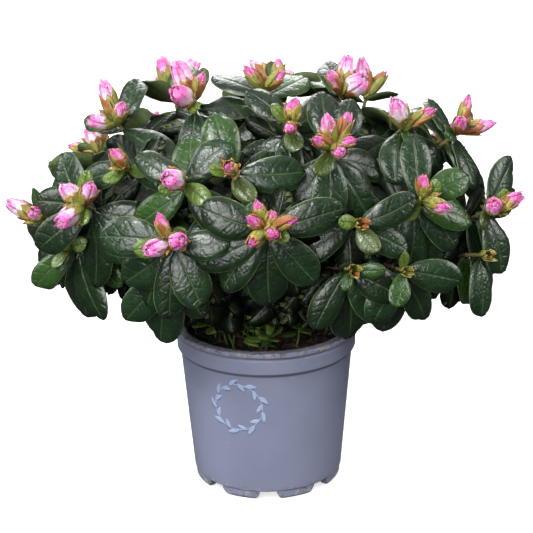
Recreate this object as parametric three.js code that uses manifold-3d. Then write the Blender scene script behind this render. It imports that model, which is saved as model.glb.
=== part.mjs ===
// A pot azalea in bud: a plastic nursery pot filled with potting soil, a short woody stem, one
// bough for each mass of foliage, and the masses themselves, each a set of leafy, budded shoots.
// Millimetres, +Z up. The origin is the middle of the pot's underside, on the ground.
import * as THREE from 'three';
import { mergeVertices } from 'three/addons/utils/BufferGeometryUtils.js';
import Module from 'manifold-3d';

const wasm = await Module();
wasm.setup();

// ---- driving dimensions ----

const CLEARANCE = 0.3; // between pieces that touch

const POT = {
  height: 108,
  lipRadius: 60.8,
  lipDrop: 3,
  ledgeRadius: 54.5,
  grooveRadius: 58.4,
  grooveDrop: 4.2,
  collarRadius: 59.6,
  collarDrop: 14.5,
  stepDrop: 17,
  wallTopRadius: 57.3,
  wallFootRadius: 50,
  footRadius: 49.2,
  footHeight: 6,
  footInnerRadius: 43.5,
  wall: 1.6,
  notches: 8,
  notchTop: 11,
  notchFoot: 22,
  facets: 32,
};

const SOIL = { drop: 9, mound: 3, flatRadius: 16 };

const TRUNK = { height: 46, flareRadius: 9, baseRadius: 6, tipRadius: 3.6, lean: 3, sector: 46, boughs: [0.13, 0.9] };

const BOUGH = { baseRadius: 2.3, tipRadius: 1.9, reach: 0.5, steep: [0.25, 1.1] };

const TWIG = { stemRadius: 1.9, baseRadius: 1.5, tipRadius: 1.2, fork: 0.2, straightTip: 26, steps: 3 };

// The crown is a mound: its shoots end on this ellipsoid. They stand square to a flatter one, facing,
// and lean away from its ridge along X, so that most of them look to the front or to the back.
const CROWN = { centre: [-2, 0, 140], reach: [150, 140, 135], facing: [190, 115, 170], ridge: 24, lift: 0.12 };

const LEAF = { length: 50, width: 0.56, thickness: 1, bend: 30, droop: 0.2, sink: 0.2 };

// Leaves on one shoot, from the widest whorl at the bottom to the small ones round the buds.
// tilt is the angle from the shoot's axis in degrees, down the distance below its tip.
const WHORLS = {
  broad: { tilt: [96, 70], down: [14, 4], share: [1, 0.82] },
  under: { tilt: [92, 84], down: [28, 19], share: [0.86, 0.74], count: 3 },
  small: { tilt: [50, 38], down: [2.4, 1], share: [0.46, 0.36], count: 2 },
};

const BUD = { length: 23, radius: 4.6, tilt: [18, 52], sink: 0.4, sides: 4 };

const TRIES = [0, 15, -15, 28, -28]; // degrees that a leaf may be turned by to find its own space

const GOLDEN_ANGLE = 137.5;

// Masses of the side that faces -Y. Each shoot has its tip, the clock angles of its broad leaves
// (0 up the slope, 90 towards +X, 180 down the slope) and its number of buds.
const FRONT_MASSES = {
  front_centre: [
    { tip: [1, -118, 210], clocks: [180, 130, 226, 256, 64, 300], buds: 6 },
    { tip: [52, -98, 177], clocks: [172, 128, 216, 84], buds: 0 },
  ],
  front_left: [
    { tip: [-56, -112, 200], clocks: [214, 244, 186, 150, 285, 75], buds: 3 },
    { tip: [-62, -92, 176], clocks: [195, 228, 160], buds: 0 },
  ],
  left_front: [
    { tip: [-111, -64, 210], clocks: [184, 88, 140, 282, 236, 330], buds: 3 },
    { tip: [-142, -24, 188], clocks: [190, 224, 270, 155, 20], buds: 2 },
    { tip: [-124, -44, 176], clocks: [186, 150, 228], buds: 0 },
  ],
  upper_left: [
    { tip: [-92, -20, 250], clocks: [200, 168, 140, 300, 110, 350], buds: 3 },
    { tip: [-84, -64, 233], clocks: [150, 210, 250, 90], buds: 1 },
  ],
  centre_left: [
    { tip: [-49, -92, 231], clocks: [205, 245, 120, 310, 40], buds: 1 },
    { tip: [-18, -90, 237], clocks: [110, 160, 215, 60, 330], buds: 1 },
  ],
  top_left: [
    { tip: [-44, -22, 264], clocks: [272, 120, 60, 190, 330], buds: 3 },
  ],
  top_centre: [
    { tip: [1, -13, 268], clocks: [205, 262, 100, 150, 42, 310], buds: 2 },
    { tip: [17, -55, 256], clocks: [258, 102, 50, 182, 322], buds: 2 },
  ],
  centre_right: [
    { tip: [42, -72, 246], clocks: [88, 142, 232, 190, 20, 330], buds: 5 },
    { tip: [56, -98, 206], clocks: [200, 160, 250, 110, 60], buds: 0 },
  ],
  top_right: [
    { tip: [50, -12, 265], clocks: [80, 150, 220, 290, 10], buds: 3 },
    { tip: [88, -26, 246], clocks: [345, 262, 160, 100, 215], buds: 2 },
  ],
  right_top: [
    { tip: [124, -8, 238], clocks: [90, 134, 56, 168, 22, 200], buds: 3 },
  ],
  right_front: [
    { tip: [96, -76, 214], clocks: [158, 200, 128, 100, 5, 60], buds: 2 },
    { tip: [84, -92, 174], clocks: [180, 145, 215, 95], buds: 0 },
  ],
  right_side: [
    { tip: [143, -42, 196], clocks: [105, 140, 70, 170, 40], buds: 2 },
    { tip: [138, -46, 168], clocks: [106, 150, 80, 190], buds: 0 },
  ],
};

// The side that faces +Y is grown by rule: a low, a middle and, on every second mass, a high shoot.
const BACK = {
  masses: 6,
  firstAzimuth: 22,
  step: 27.5,
  tiers: [
    { height: 170, reach: 0.91, turn: 11, leaves: 5, buds: 1, every: 1 },
    { height: 212, reach: 0.97, turn: -6, leaves: 5, buds: 3, every: 1 },
    { height: 252, reach: 0.94, turn: 5, leaves: 5, buds: 3, every: 2 },
  ],
};

// Young sprigs that stand in the soil round the stem.
const SPRIGS = { azimuths: [197, 223, 270, 304, 80], radius: 35, height: 12, twigRadius: 0.8, leaves: 4, leafShare: 0.3 };

const COLOURS = { pot: 0x868ba5, soil: 0x2a1d16, bark: 0x6a4632, foliage: 0x2f4a2c, sprig: 0x5f8a2c };

// ---- small helpers ----

const vec = (x, y, z) => new THREE.Vector3(x, y, z);
const UP = vec(0, 0, 1);
const rad = THREE.MathUtils.degToRad;
const mix = THREE.MathUtils.lerp;
const material = (color, roughness) => new THREE.MeshStandardMaterial({ color, roughness, metalness: 0 });

/** A repeatable number from 0 to 1 for the numbers that say where on the plant something is. */
function chance(mass, shoot, item) {
  const wave = Math.sin(mass * 12.9898 + shoot * 78.233 + item * 37.719 + 1) * 43758.5453;
  return wave - Math.floor(wave);
}

/** The closed solid of a geometry whose seams are shared edges. */
function solid(geometry) {
  const bare = new THREE.BufferGeometry();
  bare.setAttribute('position', geometry.getAttribute('position'));
  bare.setIndex(geometry.index);
  const merged = mergeVertices(bare, 1e-4);
  const corners = merged.index.array;
  const faces = [];
  for (let i = 0; i < corners.length; i += 3) {
    const [a, b, c] = corners.slice(i, i + 3);
    if (a !== b && b !== c && c !== a) faces.push(a, b, c);
  }
  const mesh = new wasm.Mesh({
    numProp: 3,
    vertProperties: merged.attributes.position.array,
    triVerts: Uint32Array.from(faces),
  });
  const made = new wasm.Manifold(mesh);
  if (made.volume() > 0) return made;
  mesh.triVerts = Uint32Array.from(faces).reverse();
  return new wasm.Manifold(mesh);
}

const joined = (solids) => solids.reduce((whole, next) => whole.add(next));

/** A named mesh of a solid. */
function piece(name, made, finish) {
  const { vertProperties, triVerts } = made.getMesh();
  const geometry = new THREE.BufferGeometry();
  geometry.setAttribute('position', new THREE.BufferAttribute(vertProperties, 3));
  geometry.setIndex(new THREE.BufferAttribute(triVerts, 1));
  geometry.computeVertexNormals();
  const mesh = new THREE.Mesh(geometry, finish);
  mesh.name = name;
  return mesh;
}

/** A round solid about Z from [radius, height] pairs that start and end on the axis. */
function turned(profile, sides) {
  const lathe = new THREE.LatheGeometry(profile.map(([r, z]) => new THREE.Vector2(r, z)), sides);
  return lathe.rotateX(Math.PI / 2);
}

/** Moves a round solid of height 1 onto a curve, so that its axis follows the curve. */
function bent(geometry, curve) {
  const overall = curve.getPoint(1).sub(curve.getPoint(0)).normalize();
  const reference = Math.abs(overall.z) < 0.8 ? UP : vec(1, 0, 0);
  const place = geometry.getAttribute('position');
  for (let i = 0; i < place.count; i += 1) {
    const along = THREE.MathUtils.clamp(place.getZ(i), 0, 1);
    const ahead = curve.getTangent(along);
    const side = vec().crossVectors(reference, ahead).normalize();
    const over = vec().crossVectors(ahead, side);
    const point = curve.getPoint(along)
      .addScaledVector(side, place.getX(i))
      .addScaledVector(over, place.getY(i));
    place.setXYZ(i, point.x, point.y, point.z);
  }
  return geometry;
}

/** A limb along a curve. radiusAt gives its radius for 0 at the foot to 1 at the tip. */
function limb(curve, radiusAt, sides, steps) {
  const profile = [[0, 0]];
  for (let i = 0; i <= steps; i += 1) profile.push([radiusAt(i / steps), i / steps]);
  profile.push([0, 1]);
  return solid(bent(turned(profile, sides), curve));
}

// ---- the pot and what fills it ----

function potShell() {
  const p = POT;
  const floor = p.footHeight + p.wall;
  return turned([
    [0, p.footHeight],
    [p.footInnerRadius, p.footHeight],
    [p.footInnerRadius, 0],
    [p.footRadius - 1.2, 0],
    [p.footRadius, 1.5],
    [p.footRadius, p.footHeight],
    [p.wallFootRadius, p.footHeight + 0.6],
    [p.wallTopRadius, p.height - p.stepDrop],
    [p.collarRadius, p.height - p.collarDrop],
    [p.collarRadius, p.height - p.grooveDrop - 1.4],
    [p.grooveRadius, p.height - p.grooveDrop],
    [p.lipRadius, p.height - p.lipDrop],
    [p.lipRadius, p.height - 0.6],
    [p.lipRadius - 0.6, p.height],
    [p.ledgeRadius, p.height],
    [p.ledgeRadius, p.height - p.stepDrop],
    [p.wallFootRadius - p.wall, floor],
    [0, floor],
  ], p.facets);
}

/** The gap between two feet: wider at the ground, with its corners rounded. */
function footNotch() {
  const { notchTop, notchFoot, footHeight } = POT;
  const outline = new THREE.Shape();
  outline.moveTo(-notchFoot / 2, -1);
  outline.lineTo(notchFoot / 2, -1);
  outline.quadraticCurveTo(notchTop / 2 + 1, 0, notchTop / 2, footHeight - 0.2);
  outline.lineTo(-notchTop / 2, footHeight - 0.2);
  outline.quadraticCurveTo(-notchTop / 2 - 1, 0, -notchFoot / 2, -1);
  const block = new THREE.ExtrudeGeometry(outline, { depth: 12, bevelEnabled: false, curveSegments: 2 });
  return block.rotateX(Math.PI / 2).translate(0, 1 - POT.footInnerRadius + 4, 0);
}

function pot() {
  let shell = solid(potShell());
  for (let i = 0; i < POT.notches; i += 1) {
    const notch = footNotch().rotateZ((i / POT.notches) * 2 * Math.PI);
    shell = shell.subtract(solid(notch));
  }
  return shell;
}

const soilTop = POT.height - SOIL.drop + SOIL.mound;

function pottingSoil() {
  const floor = POT.footHeight + POT.wall + CLEARANCE;
  const shoulder = POT.height - POT.stepDrop;
  return solid(turned([
    [0, floor],
    [POT.wallFootRadius - POT.wall - 2 * CLEARANCE, floor],
    [POT.ledgeRadius - 2 * CLEARANCE, shoulder],
    [POT.ledgeRadius - 2 * CLEARANCE, POT.height - SOIL.drop],
    [SOIL.flatRadius, soilTop],
    [0, soilTop],
  ], 32));
}

// ---- the stem and the boughs ----

const trunkFoot = soilTop + CLEARANCE;

const trunkCurve = new THREE.QuadraticBezierCurve3(
  vec(0, 0, trunkFoot),
  vec(0, 0, trunkFoot + TRUNK.height / 2),
  vec(-TRUNK.lean, TRUNK.lean, trunkFoot + TRUNK.height),
);

/** The stem's radius: a root flare that dies away, then an even taper. */
function trunkRadius(along) {
  const flare = (TRUNK.flareRadius - TRUNK.baseRadius) * Math.exp(-along * 9);
  return mix(TRUNK.baseRadius, TRUNK.tipRadius, along) + flare;
}

/** Where the shoot's axis points: square to the mound, turned upwards. */
function axisAt(tip) {
  const from = [CROWN.centre[0], -Math.sign(tip[1]) * CROWN.ridge, CROWN.centre[2]];
  const slope = [0, 1, 2].map((i) => (tip[i] - from[i]) / CROWN.facing[i] ** 2);
  return vec(...slope).normalize().addScaledVector(UP, CROWN.lift).normalize();
}

/** The masses of the side that faces +Y. */
function backMasses() {
  const masses = {};
  for (let i = 0; i < BACK.masses; i += 1) {
    const shoots = BACK.tiers.filter((tier) => i % tier.every === 0).map((tier) => {
      const azimuth = rad(BACK.firstAzimuth + BACK.step * i + tier.turn);
      const rise = (tier.height - CROWN.centre[2]) / CROWN.reach[2];
      const out = tier.reach * Math.sqrt(1 - rise * rise);
      return {
        tip: [
          CROWN.centre[0] + CROWN.reach[0] * out * Math.cos(azimuth),
          CROWN.centre[1] + CROWN.reach[1] * out * Math.sin(azimuth),
          tier.height,
        ],
        clocks: Array.from({ length: tier.leaves }, (_, k) => 180 + 40 * i + GOLDEN_ANGLE * k),
        buds: tier.buds,
      };
    });
    masses[`back_${i + 1}`] = shoots;
  }
  return masses;
}

const MASSES = { ...FRONT_MASSES, ...backMasses() };

/** Each mass with its middle and the place on the stem that its bough springs from. */
function massPlans() {
  const plans = Object.entries(MASSES).map(([name, shoots], index) => {
    const middle = vec(0, 0, 0);
    shoots.forEach((shoot) => middle.add(vec(...shoot.tip)));
    middle.divideScalar(shoots.length);
    return { name, shoots, index, middle, azimuth: Math.atan2(middle.y, middle.x) };
  });
  // Flat boughs leave the stem low down. A steeper one starts a tier above all those near its side.
  const steepness = (plan) => plan.middle.z - 0.75 * Math.hypot(plan.middle.x, plan.middle.y);
  const apart = (a, b) => Math.abs(Math.atan2(Math.sin(a.azimuth - b.azimuth), Math.cos(a.azimuth - b.azimuth)));
  const ranked = [...plans].sort((a, b) => steepness(a) - steepness(b));
  ranked.forEach((plan, rank) => {
    const below = ranked.slice(0, rank).filter((other) => apart(plan, other) < rad(TRUNK.sector));
    plan.tier = Math.max(-1, ...below.map((other) => other.tier)) + 1;
  });
  const tiers = Math.max(...plans.map((plan) => plan.tier));
  plans.forEach((plan) => {
    plan.height = plan.tier / tiers;
  });
  return plans;
}

/** A bough: it leaves the stem's bark, swings outwards and ends where its mass begins. */
function boughCurve(plan) {
  const share = mix(...TRUNK.boughs, plan.height);
  const onTrunk = trunkCurve.getPoint(share);
  const out = vec(Math.cos(plan.azimuth), Math.sin(plan.azimuth), 0);
  const steep = mix(...BOUGH.steep, plan.height);
  const heading = out.clone().addScaledVector(UP, steep).normalize();
  const gap = CLEARANCE + BOUGH.baseRadius * Math.sin(Math.atan(steep));
  const start = onTrunk.clone().addScaledVector(out, trunkRadius(share) + gap);
  const end = onTrunk.clone().lerp(plan.middle, BOUGH.reach + 0.05 * chance(plan.index, 3, 1));
  const bow = start.clone().addScaledVector(heading, start.distanceTo(end) * 0.5);
  return new THREE.QuadraticBezierCurve3(start, bow, end);
}

// ---- leaves, buds and twigs ----

/** Half the leaf's width at a share of its length: a wedge at the base, widest past the middle. */
function halfWidth(share) {
  return 1.31 * share ** 0.9 * (1 - share) ** 0.55;
}

/** A point of a leaf: along its arching midrib, across it, and above or below it. */
function leafPoint(leaf, share, across, lift) {
  const turn = leaf.bend * share;
  const ahead = (leaf.length * Math.sin(turn)) / leaf.bend;
  const fall = (leaf.length * (1 - Math.cos(turn))) / leaf.bend;
  return leaf.base.clone()
    .addScaledVector(leaf.along, ahead + lift * Math.sin(turn))
    .addScaledVector(leaf.face, lift * Math.cos(turn) - fall)
    .addScaledVector(leaf.side, across);
}

/** A leaf as a thin lens over a six-cornered outline. spare makes it that much fatter all round. */
function leafSolid(leaf, spare = 0) {
  const edge = (share, sign) => {
    const reach = (halfWidth(share) * 1.04 * leaf.width + spare) * sign;
    return leafPoint(leaf, share, reach, -0.07 * leaf.width);
  };
  const thick = leaf.thickness / 2 + spare;
  const points = [
    leafPoint(leaf, 0, 0, 0),
    edge(0.4, -1),
    edge(0.82, -1),
    leafPoint(leaf, 1 + spare / leaf.length, 0, -0.04 * leaf.width),
    edge(0.82, 1),
    edge(0.4, 1),
    leafPoint(leaf, 0.56, 0, thick),
    leafPoint(leaf, 0.56, 0, -thick),
  ];
  const geometry = new THREE.BufferGeometry().setFromPoints(points);
  const faces = [];
  for (let i = 0; i < 6; i += 1) {
    const next = (i + 1) % 6;
    faces.push(i, 6, next, next, 7, i);
  }
  geometry.setIndex(faces);
  return { solid: solid(geometry), box: new THREE.Box3().setFromPoints(points) };
}

/** A leaf's frame on its shoot, from its clock angle, its tilt off the axis and its size. */
function leafFrame(shoot, clock, tilt, down, length) {
  const outward = shoot.slope.clone().applyAxisAngle(shoot.axis, -rad(clock));
  const droop = LEAF.droop * Math.max(0, Math.sin(rad(tilt)));
  const along = shoot.axis.clone().multiplyScalar(Math.cos(rad(tilt)))
    .addScaledVector(outward, Math.sin(rad(tilt)))
    .addScaledVector(UP, -droop)
    .normalize();
  const side = vec().crossVectors(along, shoot.axis).normalize();
  const face = vec().crossVectors(side, along).normalize();
  return {
    base: shoot.rootAt(down).addScaledVector(along, -LEAF.sink),
    along,
    side,
    face,
    length,
    width: length * LEAF.width,
    bend: rad(LEAF.bend),
    thickness: LEAF.thickness * Math.sqrt(length / LEAF.length),
  };
}

/** The leaves that a shoot would like to grow, widest first, as [clock, tilt, down, length]. */
function wantedLeaves(shoot, mass, index) {
  const wanted = [];
  const whorl = (clocks, rule, kind) => clocks.forEach((clock, k) => {
    const along = clocks.length > 1 ? k / (clocks.length - 1) : 0;
    const vary = 0.9 + 0.2 * chance(mass, index, kind * 20 + k);
    wanted.push([
      clock,
      mix(...rule.tilt, along),
      mix(...rule.down, along),
      LEAF.length * mix(...rule.share, along) * vary,
    ]);
  });
  const spiral = (first, count) => Array.from({ length: count }, (_, k) => first + GOLDEN_ANGLE * k);
  whorl(shoot.clocks, WHORLS.broad, 0);
  whorl(spiral(360 * chance(mass, index, 91), WHORLS.small.count), WHORLS.small, 1);
  whorl(spiral(180 + 90 * chance(mass, index, 92), WHORLS.under.count), WHORLS.under, 2);
  return wanted;
}

/** A bud: a four-sided spindle on the shoot's tip. */
function budSolid(shoot, mass, index, k) {
  const spread = shoot.buds > 1 ? 0.35 + 0.65 * chance(mass, index, 60 + k) : 0;
  const tilt = rad(mix(...BUD.tilt, spread));
  const turn = rad((360 / Math.max(shoot.buds, 1)) * k + 360 * chance(mass, index, 50));
  const along = shoot.axis.clone().multiplyScalar(Math.cos(tilt))
    .addScaledVector(shoot.slope.clone().applyAxisAngle(shoot.axis, turn), Math.sin(tilt));
  const length = BUD.length * (0.75 + 0.5 * chance(mass, index, 70 + k));
  const start = shoot.tip.clone().addScaledVector(along, -BUD.sink);
  const line = new THREE.LineCurve3(start, start.clone().addScaledVector(along, length + BUD.sink));
  const spindle = turned([[0, 0], [BUD.radius, 0.45], [BUD.radius * 0.75, 0.8], [0, 1]], BUD.sides);
  return solid(bent(spindle, line));
}

/** A shoot: its twig from the mass's fork to its tip, where it stands square to the crown. */
function grownShoot(fork, shoot, index) {
  const tip = vec(...shoot.tip);
  const axis = axisAt(shoot.tip);
  const slope = UP.clone().addScaledVector(axis, -axis.z).normalize();
  const straight = Math.min(TWIG.straightTip, fork.distanceTo(tip) * 0.5);
  const twig = new THREE.QuadraticBezierCurve3(fork, tip.clone().addScaledVector(axis, -straight), tip);
  const joints = twig.getPoints(TWIG.steps);
  const rootAt = (down) => {
    const place = TWIG.steps * (1 - down / (2 * straight));
    const joint = Math.min(Math.floor(place), TWIG.steps - 1);
    return joints[joint].clone().lerp(joints[joint + 1], place - joint);
  };
  return { ...shoot, index, tip, axis, slope, twig, rootAt };
}

const boxOf = (made) => {
  const { min, max } = made.boundingBox();
  return new THREE.Box3(vec(...min), vec(...max));
};

const touching = (leaf, others) => others.some(
  (other) => other.box.intersectsBox(leaf.box) && !other.solid.intersect(leaf.solid).isEmpty(),
);

/** The mass's wood and buds, which take their places before any leaf does. */
function growWood(plan) {
  const bough = boughCurve(plan);
  const heading = bough.getTangent(1);
  const foot = bough.getPoint(1).addScaledVector(heading, CLEARANCE);
  const fork = foot.clone().addScaledVector(heading, TWIG.fork * foot.distanceTo(plan.middle) + 4);
  plan.bough = limb(bough, (u) => mix(BOUGH.baseRadius, BOUGH.tipRadius, u), 5, 4);
  plan.stem = limb(new THREE.LineCurve3(foot, fork), () => TWIG.stemRadius, 5, 1);
  plan.grown = plan.shoots.map((shoot, index) => {
    const grown = grownShoot(fork.clone().addScaledVector(heading, -2), shoot, index);
    const parts = [limb(grown.twig, (u) => mix(TWIG.baseRadius, TWIG.tipRadius, u), 3, TWIG.steps)];
    for (let k = 0; k < shoot.buds; k += 1) parts.push(budSolid(grown, plan.index, index, k));
    grown.wood = joined(parts);
    return grown;
  });
}

/** Grows one shoot's leaves. A leaf that would touch anything but its own shoot is turned or skipped. */
function growLeaves(plan, shoot, taken) {
  const own = [];
  wantedLeaves(shoot, plan.index, shoot.index).forEach(([clock, tilt, down, length]) => {
    for (const turn of TRIES) {
      const frame = leafFrame(shoot, clock + turn, tilt + Math.abs(turn) / 4, down, length);
      const fat = leafSolid(frame, 0.45);
      if (!touching(fat, taken.filter((other) => other.shoot !== shoot))) {
        own.push({ ...leafSolid(frame), fat });
        break;
      }
    }
  });
  own.forEach((leaf) => taken.push({ ...leaf, shoot }));
  return own.map((leaf) => leaf.solid);
}

/** Every mass, with its leaves grown in turn from the top shoot of each mass to the lowest. */
function growCrown(still) {
  const plans = massPlans();
  plans.forEach(growWood);
  const taken = [];
  const take = (made, shoot) => taken.push({ solid: made, box: boxOf(made), shoot });
  still.forEach((made) => take(made));
  plans.forEach((plan) => {
    take(plan.bough);
    take(plan.stem);
    plan.grown.forEach((shoot) => take(shoot.wood, shoot));
  });
  plans.forEach((plan) => {
    const leaves = plan.grown.flatMap((shoot) => growLeaves(plan, shoot, taken));
    plan.mass = joined([plan.stem, ...plan.grown.map((shoot) => shoot.wood), ...leaves]);
  });
  return plans;
}

/** A young sprig: a short twig out of the soil with a few small leaves. */
function sprig(azimuth, number) {
  const angle = rad(azimuth);
  const out = vec(Math.cos(angle), Math.sin(angle), 0);
  const slope = (soilTop - (POT.height - SOIL.drop)) / (POT.ledgeRadius - SOIL.flatRadius);
  const ground = soilTop - slope * (SPRIGS.radius - SPRIGS.twigRadius - SOIL.flatRadius) + CLEARANCE;
  const foot = out.clone().multiplyScalar(SPRIGS.radius).setZ(ground);
  const height = SPRIGS.height * (0.8 + 0.4 * chance(number, 7, 7));
  const tip = foot.clone().addScaledVector(UP, height).addScaledVector(out, height * 0.25);
  const axis = tip.clone().sub(foot).normalize();
  const rootAt = (down) => tip.clone().addScaledVector(axis, -down);
  const shoot = { tip, axis, rootAt, slope: vec().crossVectors(axis, UP).normalize() };
  const parts = [limb(new THREE.LineCurve3(foot, tip), () => SPRIGS.twigRadius, 4, 1)];
  for (let k = 0; k < SPRIGS.leaves; k += 1) {
    const frame = leafFrame(shoot, GOLDEN_ANGLE * k, mix(75, 40, k / SPRIGS.leaves), 3 - 0.7 * k, LEAF.length * SPRIGS.leafShare);
    frame.base.addScaledVector(frame.along, LEAF.sink / 2);
    parts.push(leafSolid(frame).solid);
  }
  return joined(parts);
}

// ---- the whole plant ----

const plant = new THREE.Group();

const potSolid = pot();
const soilSolid = pottingSoil();
const trunkSolid = limb(trunkCurve, trunkRadius, 10, 6);
const sprigs = SPRIGS.azimuths.map(sprig);

plant.add(piece('pot', potSolid, material(COLOURS.pot, 0.55)));
plant.add(piece('potting_soil', soilSolid, material(COLOURS.soil, 0.95)));
plant.add(piece('main_stem', trunkSolid, material(COLOURS.bark, 0.8)));
sprigs.forEach((made, i) => plant.add(piece(`sprig_${i + 1}`, made, material(COLOURS.sprig, 0.5))));

for (const plan of growCrown([potSolid, soilSolid, trunkSolid, ...sprigs])) {
  plant.add(piece(`bough_${plan.name}`, plan.bough, material(COLOURS.bark, 0.8)));
  plant.add(piece(`foliage_${plan.name}`, plan.mass, material(COLOURS.foliage, 0.4)));
}

export default plant;
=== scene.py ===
"""Dresses a pot azalea in bud: its pot and print, soil, bark, twigs, leaves, buds, sprigs and studio.

The crown grows by the rule that the solids follow, written again here and carried on to finer
leaves. The rule works in millimetres, with +Z up and the origin under the middle of the pot, and
meshes are scaled to metres when they are made.
"""

import functools
import itertools
import math

import bpy
import numpy as np
from mathutils import Matrix, Vector
from mathutils.kdtree import KDTree


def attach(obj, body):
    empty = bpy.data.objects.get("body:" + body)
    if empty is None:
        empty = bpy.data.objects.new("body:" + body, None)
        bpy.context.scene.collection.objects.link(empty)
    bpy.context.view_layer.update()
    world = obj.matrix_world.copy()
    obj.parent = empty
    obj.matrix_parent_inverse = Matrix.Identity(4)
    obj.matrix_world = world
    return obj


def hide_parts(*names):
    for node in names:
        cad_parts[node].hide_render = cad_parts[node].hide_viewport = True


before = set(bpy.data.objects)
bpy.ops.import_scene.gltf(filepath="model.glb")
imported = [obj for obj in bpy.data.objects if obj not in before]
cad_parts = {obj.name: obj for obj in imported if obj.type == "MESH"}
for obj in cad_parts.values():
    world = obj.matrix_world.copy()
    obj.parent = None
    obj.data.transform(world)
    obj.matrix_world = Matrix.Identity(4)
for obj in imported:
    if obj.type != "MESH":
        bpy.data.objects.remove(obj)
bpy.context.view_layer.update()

bl_info = {
    "name": "Pot Azalea",
    "version": (1, 0, 0),
    "blender": (4, 5, 0),
    "location": "View3D > Sidebar > Azalea",
    "description": "Dresses the solids of a pot azalea in bud",
    "category": "Object",
}

METRES = 0.001
SEEDS = dict(leaves=41, buds=7, sprigs=19, soil=23, stem=3, boughs=10, twigs=60)

# ---- sizes that the solids share, in millimetres and degrees ----

CLEARANCE = 0.3
POT = dict(
    height=108, lip_radius=60.8, lip_drop=3, ledge_radius=54.5, groove_radius=58.4, groove_drop=4.2,
    collar_radius=59.6, collar_top=5.6, collar_drop=14.5, step_drop=17,
    wall_top_radius=57.3, wall_foot_radius=50, foot_radius=49.2, foot_height=6,
    foot_inner_radius=43.5, foot_bevel=(1.2, 1.5), bevel=0.6, wall=1.6,
    notches=8, notch_edge=((11, -1), (6.5, 0), (5.5, 5.8)),
)
SOIL = dict(drop=9, mound=3, flat_radius=16)
TRUNK = dict(
    height=46, flare_radius=9, base_radius=6, tip_radius=3.6, lean=3, sector=46, boughs=(0.13, 0.9),
)
BOUGH = dict(base_radius=2.3, tip_radius=1.9, reach=0.5, steep=(0.25, 1.1))
TWIG = dict(stem_radius=1.9, base_radius=1.5, tip_radius=1.2, fork=0.2, straight_tip=26, steps=3)
CROWN = dict(centre=(-2, 0, 140), reach=(150, 140, 135), facing=(190, 115, 170), ridge=24, lift=0.12)
LEAF = dict(length=50, width=0.56, bend=30, droop=0.2, sink=0.2)
WHORLS = dict(
    broad=dict(tilt=(96, 70), down=(14, 4), share=(1, 0.82)),
    under=dict(tilt=(92, 84), down=(28, 19), share=(0.86, 0.74), count=3),
    small=dict(tilt=(50, 38), down=(2.4, 1), share=(0.46, 0.36), count=2),
)
BUD = dict(length=23, radius=4.6, tilt=(18, 52), sink=0.4)
TRIES = (0, 15, -15, 28, -28)
GOLDEN_ANGLE = 137.5

# Each shoot: its tip, the clock angles of its broad leaves and its number of buds.
FRONT_MASSES = {
    "front_centre": [
        ((1, -118, 210), (180, 130, 226, 256, 64, 300), 6),
        ((52, -98, 177), (172, 128, 216, 84), 0),
    ],
    "front_left": [
        ((-56, -112, 200), (214, 244, 186, 150, 285, 75), 3),
        ((-62, -92, 176), (195, 228, 160), 0),
    ],
    "left_front": [
        ((-111, -64, 210), (184, 88, 140, 282, 236, 330), 3),
        ((-142, -24, 188), (190, 224, 270, 155, 20), 2),
        ((-124, -44, 176), (186, 150, 228), 0),
    ],
    "upper_left": [
        ((-92, -20, 250), (200, 168, 140, 300, 110, 350), 3),
        ((-84, -64, 233), (150, 210, 250, 90), 1),
    ],
    "centre_left": [
        ((-49, -92, 231), (205, 245, 120, 310, 40), 1),
        ((-18, -90, 237), (110, 160, 215, 60, 330), 1),
    ],
    "top_left": [
        ((-44, -22, 264), (272, 120, 60, 190, 330), 3),
    ],
    "top_centre": [
        ((1, -13, 268), (205, 262, 100, 150, 42, 310), 2),
        ((17, -55, 256), (258, 102, 50, 182, 322), 2),
    ],
    "centre_right": [
        ((42, -72, 246), (88, 142, 232, 190, 20, 330), 5),
        ((56, -98, 206), (200, 160, 250, 110, 60), 0),
    ],
    "top_right": [
        ((50, -12, 265), (80, 150, 220, 290, 10), 3),
        ((88, -26, 246), (345, 262, 160, 100, 215), 2),
    ],
    "right_top": [
        ((124, -8, 238), (90, 134, 56, 168, 22, 200), 3),
    ],
    "right_front": [
        ((96, -76, 214), (158, 200, 128, 100, 5, 60), 2),
        ((84, -92, 174), (180, 145, 215, 95), 0),
    ],
    "right_side": [
        ((143, -42, 196), (105, 140, 70, 170, 40), 2),
        ((138, -46, 168), (106, 150, 80, 190), 0),
    ],
}

BACK = dict(
    masses=6, first_azimuth=22, step=27.5,
    tiers=(
        dict(height=170, reach=0.91, turn=11, leaves=5, buds=1, every=1),
        dict(height=212, reach=0.97, turn=-6, leaves=5, buds=3, every=1),
        dict(height=252, reach=0.94, turn=5, leaves=5, buds=3, every=2),
    ),
)
SPRIGS = dict(
    azimuths=(197, 223, 270, 304, 80), radius=35, height=12, twig_radius=0.8, leaves=4, leaf_share=0.3,
)

# ---- the growing rule ----

UP = np.array([0.0, 0.0, 1.0])
POT_STEP = POT["height"] - POT["step_drop"]
SOIL_RIM = POT["ledge_radius"] - 0.6
SOIL_TOP = POT["height"] - SOIL["drop"] + SOIL["mound"]
TRUNK_FOOT = SOIL_TOP + CLEARANCE


def mix(pair, share):
    """The value a share of the way from the first of a pair to the second."""
    return pair[0] + (pair[1] - pair[0]) * share


def unit(vector):
    """The vector scaled to length 1, along the last axis of an array of vectors."""
    vector = np.asarray(vector, float)
    return vector / np.linalg.norm(vector, axis=-1, keepdims=True)


def turns(number):
    """A number of even angles that go once round a circle."""
    return np.arange(number) * 2 * math.pi / number


def on_circle(radius, angle, height):
    """Points at a distance from the axis, at an angle round it and at a height."""
    points = np.broadcast_arrays(radius * np.cos(angle), radius * np.sin(angle), height)
    return np.stack(points, axis=-1)


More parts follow.
